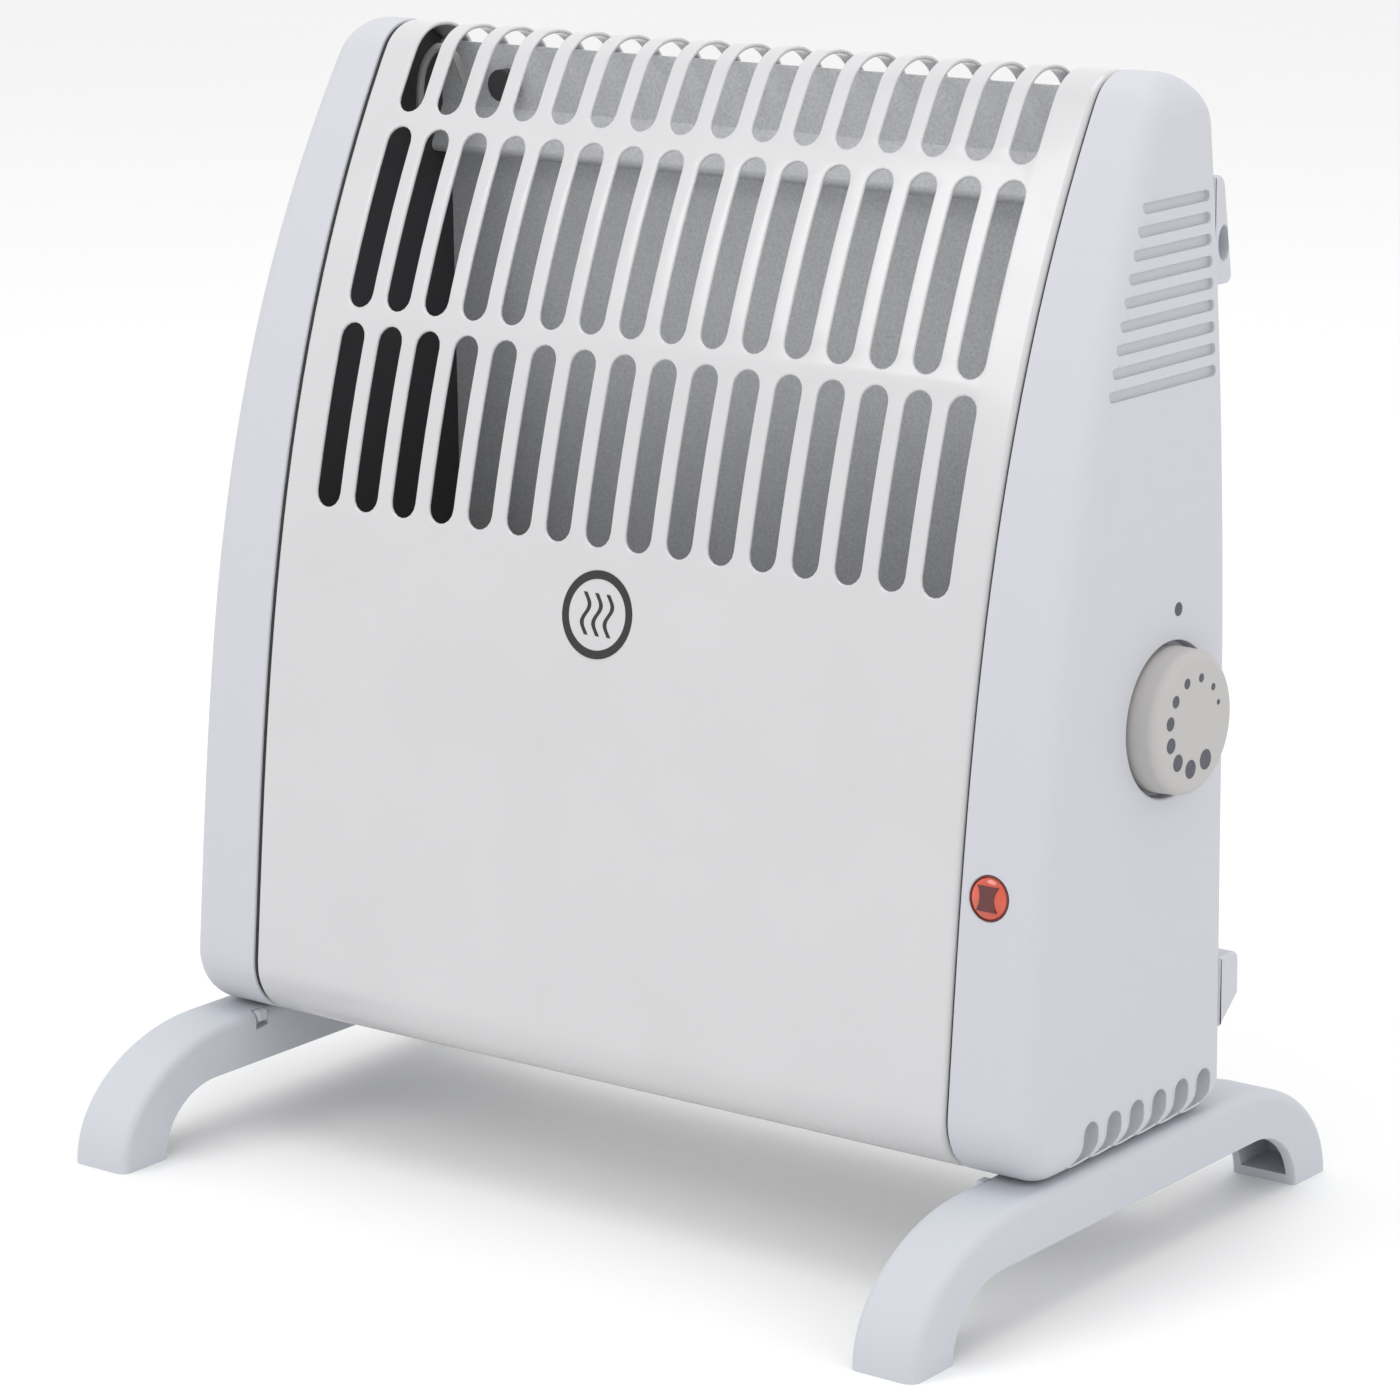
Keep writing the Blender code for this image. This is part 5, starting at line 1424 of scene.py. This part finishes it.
class HEATER_OT_knob(bpy.types.Operator):
    """Thermostat knob with its dots, and the pointer dot above it"""

    bl_idname = "heater.knob"
    bl_label = "Knob"

    def execute(self, context):
        piece("knob_cup", knob_body(), finish("knob_plastic"), ["thermostat_knob"], "knob")
        piece("dial_dots", dial_dots(), finish("dial_ink"), (), "knob")
        piece("pointer_dot", pointer_dot(), finish("dial_ink"))
        return {"FINISHED"}


class HEATER_OT_lamp(bpy.types.Operator):
    """Red lamp"""

    bl_idname = "heater.lamp"
    bl_label = "Lamp"

    def execute(self, context):
        piece("red_lens", lamp_lens(), finish("lens_plastic"), ["lamp_lens"])
        piece("lens_mask", lamp_mask(), finish("lamp_core"))
        piece("lens_ring", lamp_ring(), finish("lamp_core"))
        return {"FINISHED"}


class HEATER_OT_heat_mark(bpy.types.Operator):
    """Printed mark for a warm surface"""

    bl_idname = "heater.heat_mark"
    bl_label = "Heat Mark"

    def execute(self, context):
        piece("heat_mark", heat_mark(), finish("mark_ink"))
        return {"FINISHED"}


class HEATER_OT_wall_lugs(bpy.types.Operator):
    """Lugs that hold the heater off the wall"""

    bl_idname = "heater.wall_lugs"
    bl_label = "Wall Lugs"

    def execute(self, context):
        for name, side in SIDES:
            for level in ("upper", "lower"):
                plastic, nodes = finish("cap_plastic"), [f"{level}_wall_lug_{name}"]
                piece(f"{level}_lug_{name}", wall_lug(side, level), plastic, nodes)
        return {"FINISHED"}


class HEATER_OT_screws(bpy.types.Operator):
    """Cross-recess screws of the feet and the lugs"""

    bl_idname = "heater.screws"
    bl_label = "Screws"

    def execute(self, context):
        for number in range(1, 5):
            node, head = f"foot_screw_{number}", 2.2 * MM
            spot = (*middle(node).xy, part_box(node)[0].z + head)
            place = Matrix.Translation(spot) @ Matrix.Rotation(math.pi, 4, "X")
            made = screw(place, 3.6 * MM, head, 9 * MM)
            piece(f"foot_fixing_{number}", made, finish("screw_steel"), [node])
        for level in ("upper", "lower"):
            for name in ("left", "right"):
                node, head = f"{level}_lug_screw_{name}", 2.0 * MM
                spot = (middle(node).x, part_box(node)[1].y - head, middle(node).z)
                made = screw(Matrix.Translation(spot) @ OUT_Y, 3.4 * MM, head, 8 * MM)
                piece(f"{level}_fixing_{name}", made, finish("screw_steel"), [node])
        return {"FINISHED"}


class HEATER_OT_rear_panel(bpy.types.Operator):
    """Folded rear panel"""

    bl_idname = "heater.rear_panel"
    bl_label = "Rear Panel"

    def execute(self, context):
        piece("back_sheet", folded_panel(), finish("zinc_panel"), ["rear_panel"])
        return {"FINISHED"}


class HEATER_OT_cord_inlet(bpy.types.Operator):
    """Rubber sleeve for the cord"""

    bl_idname = "heater.cord_inlet"
    bl_label = "Cord Inlet"

    def execute(self, context):
        rubber, nodes = finish("black_rubber"), ["cord_inlet"]
        piece("cord_sleeve", cord_sleeve(), rubber, nodes, sharp=30.0)
        return {"FINISHED"}


class HEATER_OT_foot_hooks(bpy.types.Operator):
    """Tabs in the notches of the feet"""

    bl_idname = "heater.foot_hooks"
    bl_label = "Foot Hooks"

    def execute(self, context):
        for name, side in SIDES:
            piece(f"foot_hook_{name}", foot_hook(side), finish("cap_plastic"))
        return {"FINISHED"}


class HEATER_OT_inner_parts(bpy.types.Operator):
    """Finishes of the fittings inside the body"""

    bl_idname = "heater.inner_parts"
    bl_label = "Inner Parts"

    finishes = {
        # painted shade: the left end plate and the earth screw get the near-black zinc for the shade inside
        # the body; the right end plate keeps plain zinc
        "dark_sheet": ("left_end_plate", "earth_screw"),
        "zinc_panel": ("right_end_plate", "bottom_plate", "cutout_clip", "thermostat_frame"),
        "mica_board": ("element_board",),
        "nichrome": ("resistance_wire",),
        "steatite": ("element_bracket_left", "element_bracket_right", "thermal_cutout", "thermostat_stack"),
        "screw_steel": ("thermostat_spindle", "thermostat_nut"),
        "brass": ("thermostat_bush", "thermostat_terminal_1", "thermostat_terminal_2", "thermostat_blade"),
        "black_rubber": ("lamp_holder",),
        "lamp_core": ("lamp_bulb",),
        "terminal_plastic": ("terminal_block",),
        "brown_lead": ("live_wire",),
        "white_lead": ("switched_wire", "element_lead"),
        "blue_lead": ("lamp_wire",),
        "grey_lead": ("earth_wire",),
    }

    def execute(self, context):
        for surface, nodes in self.finishes.items():
            for node in nodes:
                for place in NODES[node].material_slots:
                    place.material = finish(surface)
        return {"FINISHED"}


OPERATORS = (
    HEATER_OT_stage,
    HEATER_OT_front_cover,
    HEATER_OT_end_caps,
    HEATER_OT_feet,
    HEATER_OT_knob,
    HEATER_OT_lamp,
    HEATER_OT_heat_mark,
    HEATER_OT_wall_lugs,
    HEATER_OT_screws,
    HEATER_OT_rear_panel,
    HEATER_OT_cord_inlet,
    HEATER_OT_foot_hooks,
    HEATER_OT_inner_parts,
)


class HEATER_PT_panel(bpy.types.Panel):
    """The heater's pieces and their sizes"""

    bl_idname = "HEATER_PT_panel"
    bl_label = "Convector Heater"
    bl_space_type = "VIEW_3D"
    bl_region_type = "UI"
    bl_category = "Heater"

    def draw(self, context):
        for operator in OPERATORS:
            self.layout.operator(operator.bl_idname)
        for group in (context.scene.heater_sizes, context.scene.heater_colours, context.scene.heater_stage):
            box = self.layout.box()
            for name in group.bl_rna.properties.keys():
                if name not in {"rna_type", "name"}:
                    box.prop(group, name)


GROUPS = (HeaterSizes, HeaterColours, HeaterStage)


def register():
    for made in (*GROUPS, *OPERATORS, HEATER_PT_panel):
        bpy.utils.register_class(made)
    bpy.types.Scene.heater_sizes = bpy.props.PointerProperty(type=HeaterSizes)
    bpy.types.Scene.heater_colours = bpy.props.PointerProperty(type=HeaterColours)
    bpy.types.Scene.heater_stage = bpy.props.PointerProperty(type=HeaterStage)


def unregister():
    del bpy.types.Scene.heater_stage
    del bpy.types.Scene.heater_colours
    del bpy.types.Scene.heater_sizes
    for made in reversed((*GROUPS, *OPERATORS, HEATER_PT_panel)):
        bpy.utils.unregister_class(made)


def main():
    """Builds every piece in order."""
    register()
    bpy.ops.heater.stage()
    bpy.ops.heater.front_cover()
    bpy.ops.heater.end_caps()
    bpy.ops.heater.feet()
    bpy.ops.heater.knob()
    bpy.ops.heater.lamp()
    bpy.ops.heater.heat_mark()
    bpy.ops.heater.wall_lugs()
    bpy.ops.heater.screws()
    bpy.ops.heater.rear_panel()
    bpy.ops.heater.cord_inlet()
    bpy.ops.heater.foot_hooks()
    bpy.ops.heater.inner_parts()


if __name__ == "__main__":
    main()
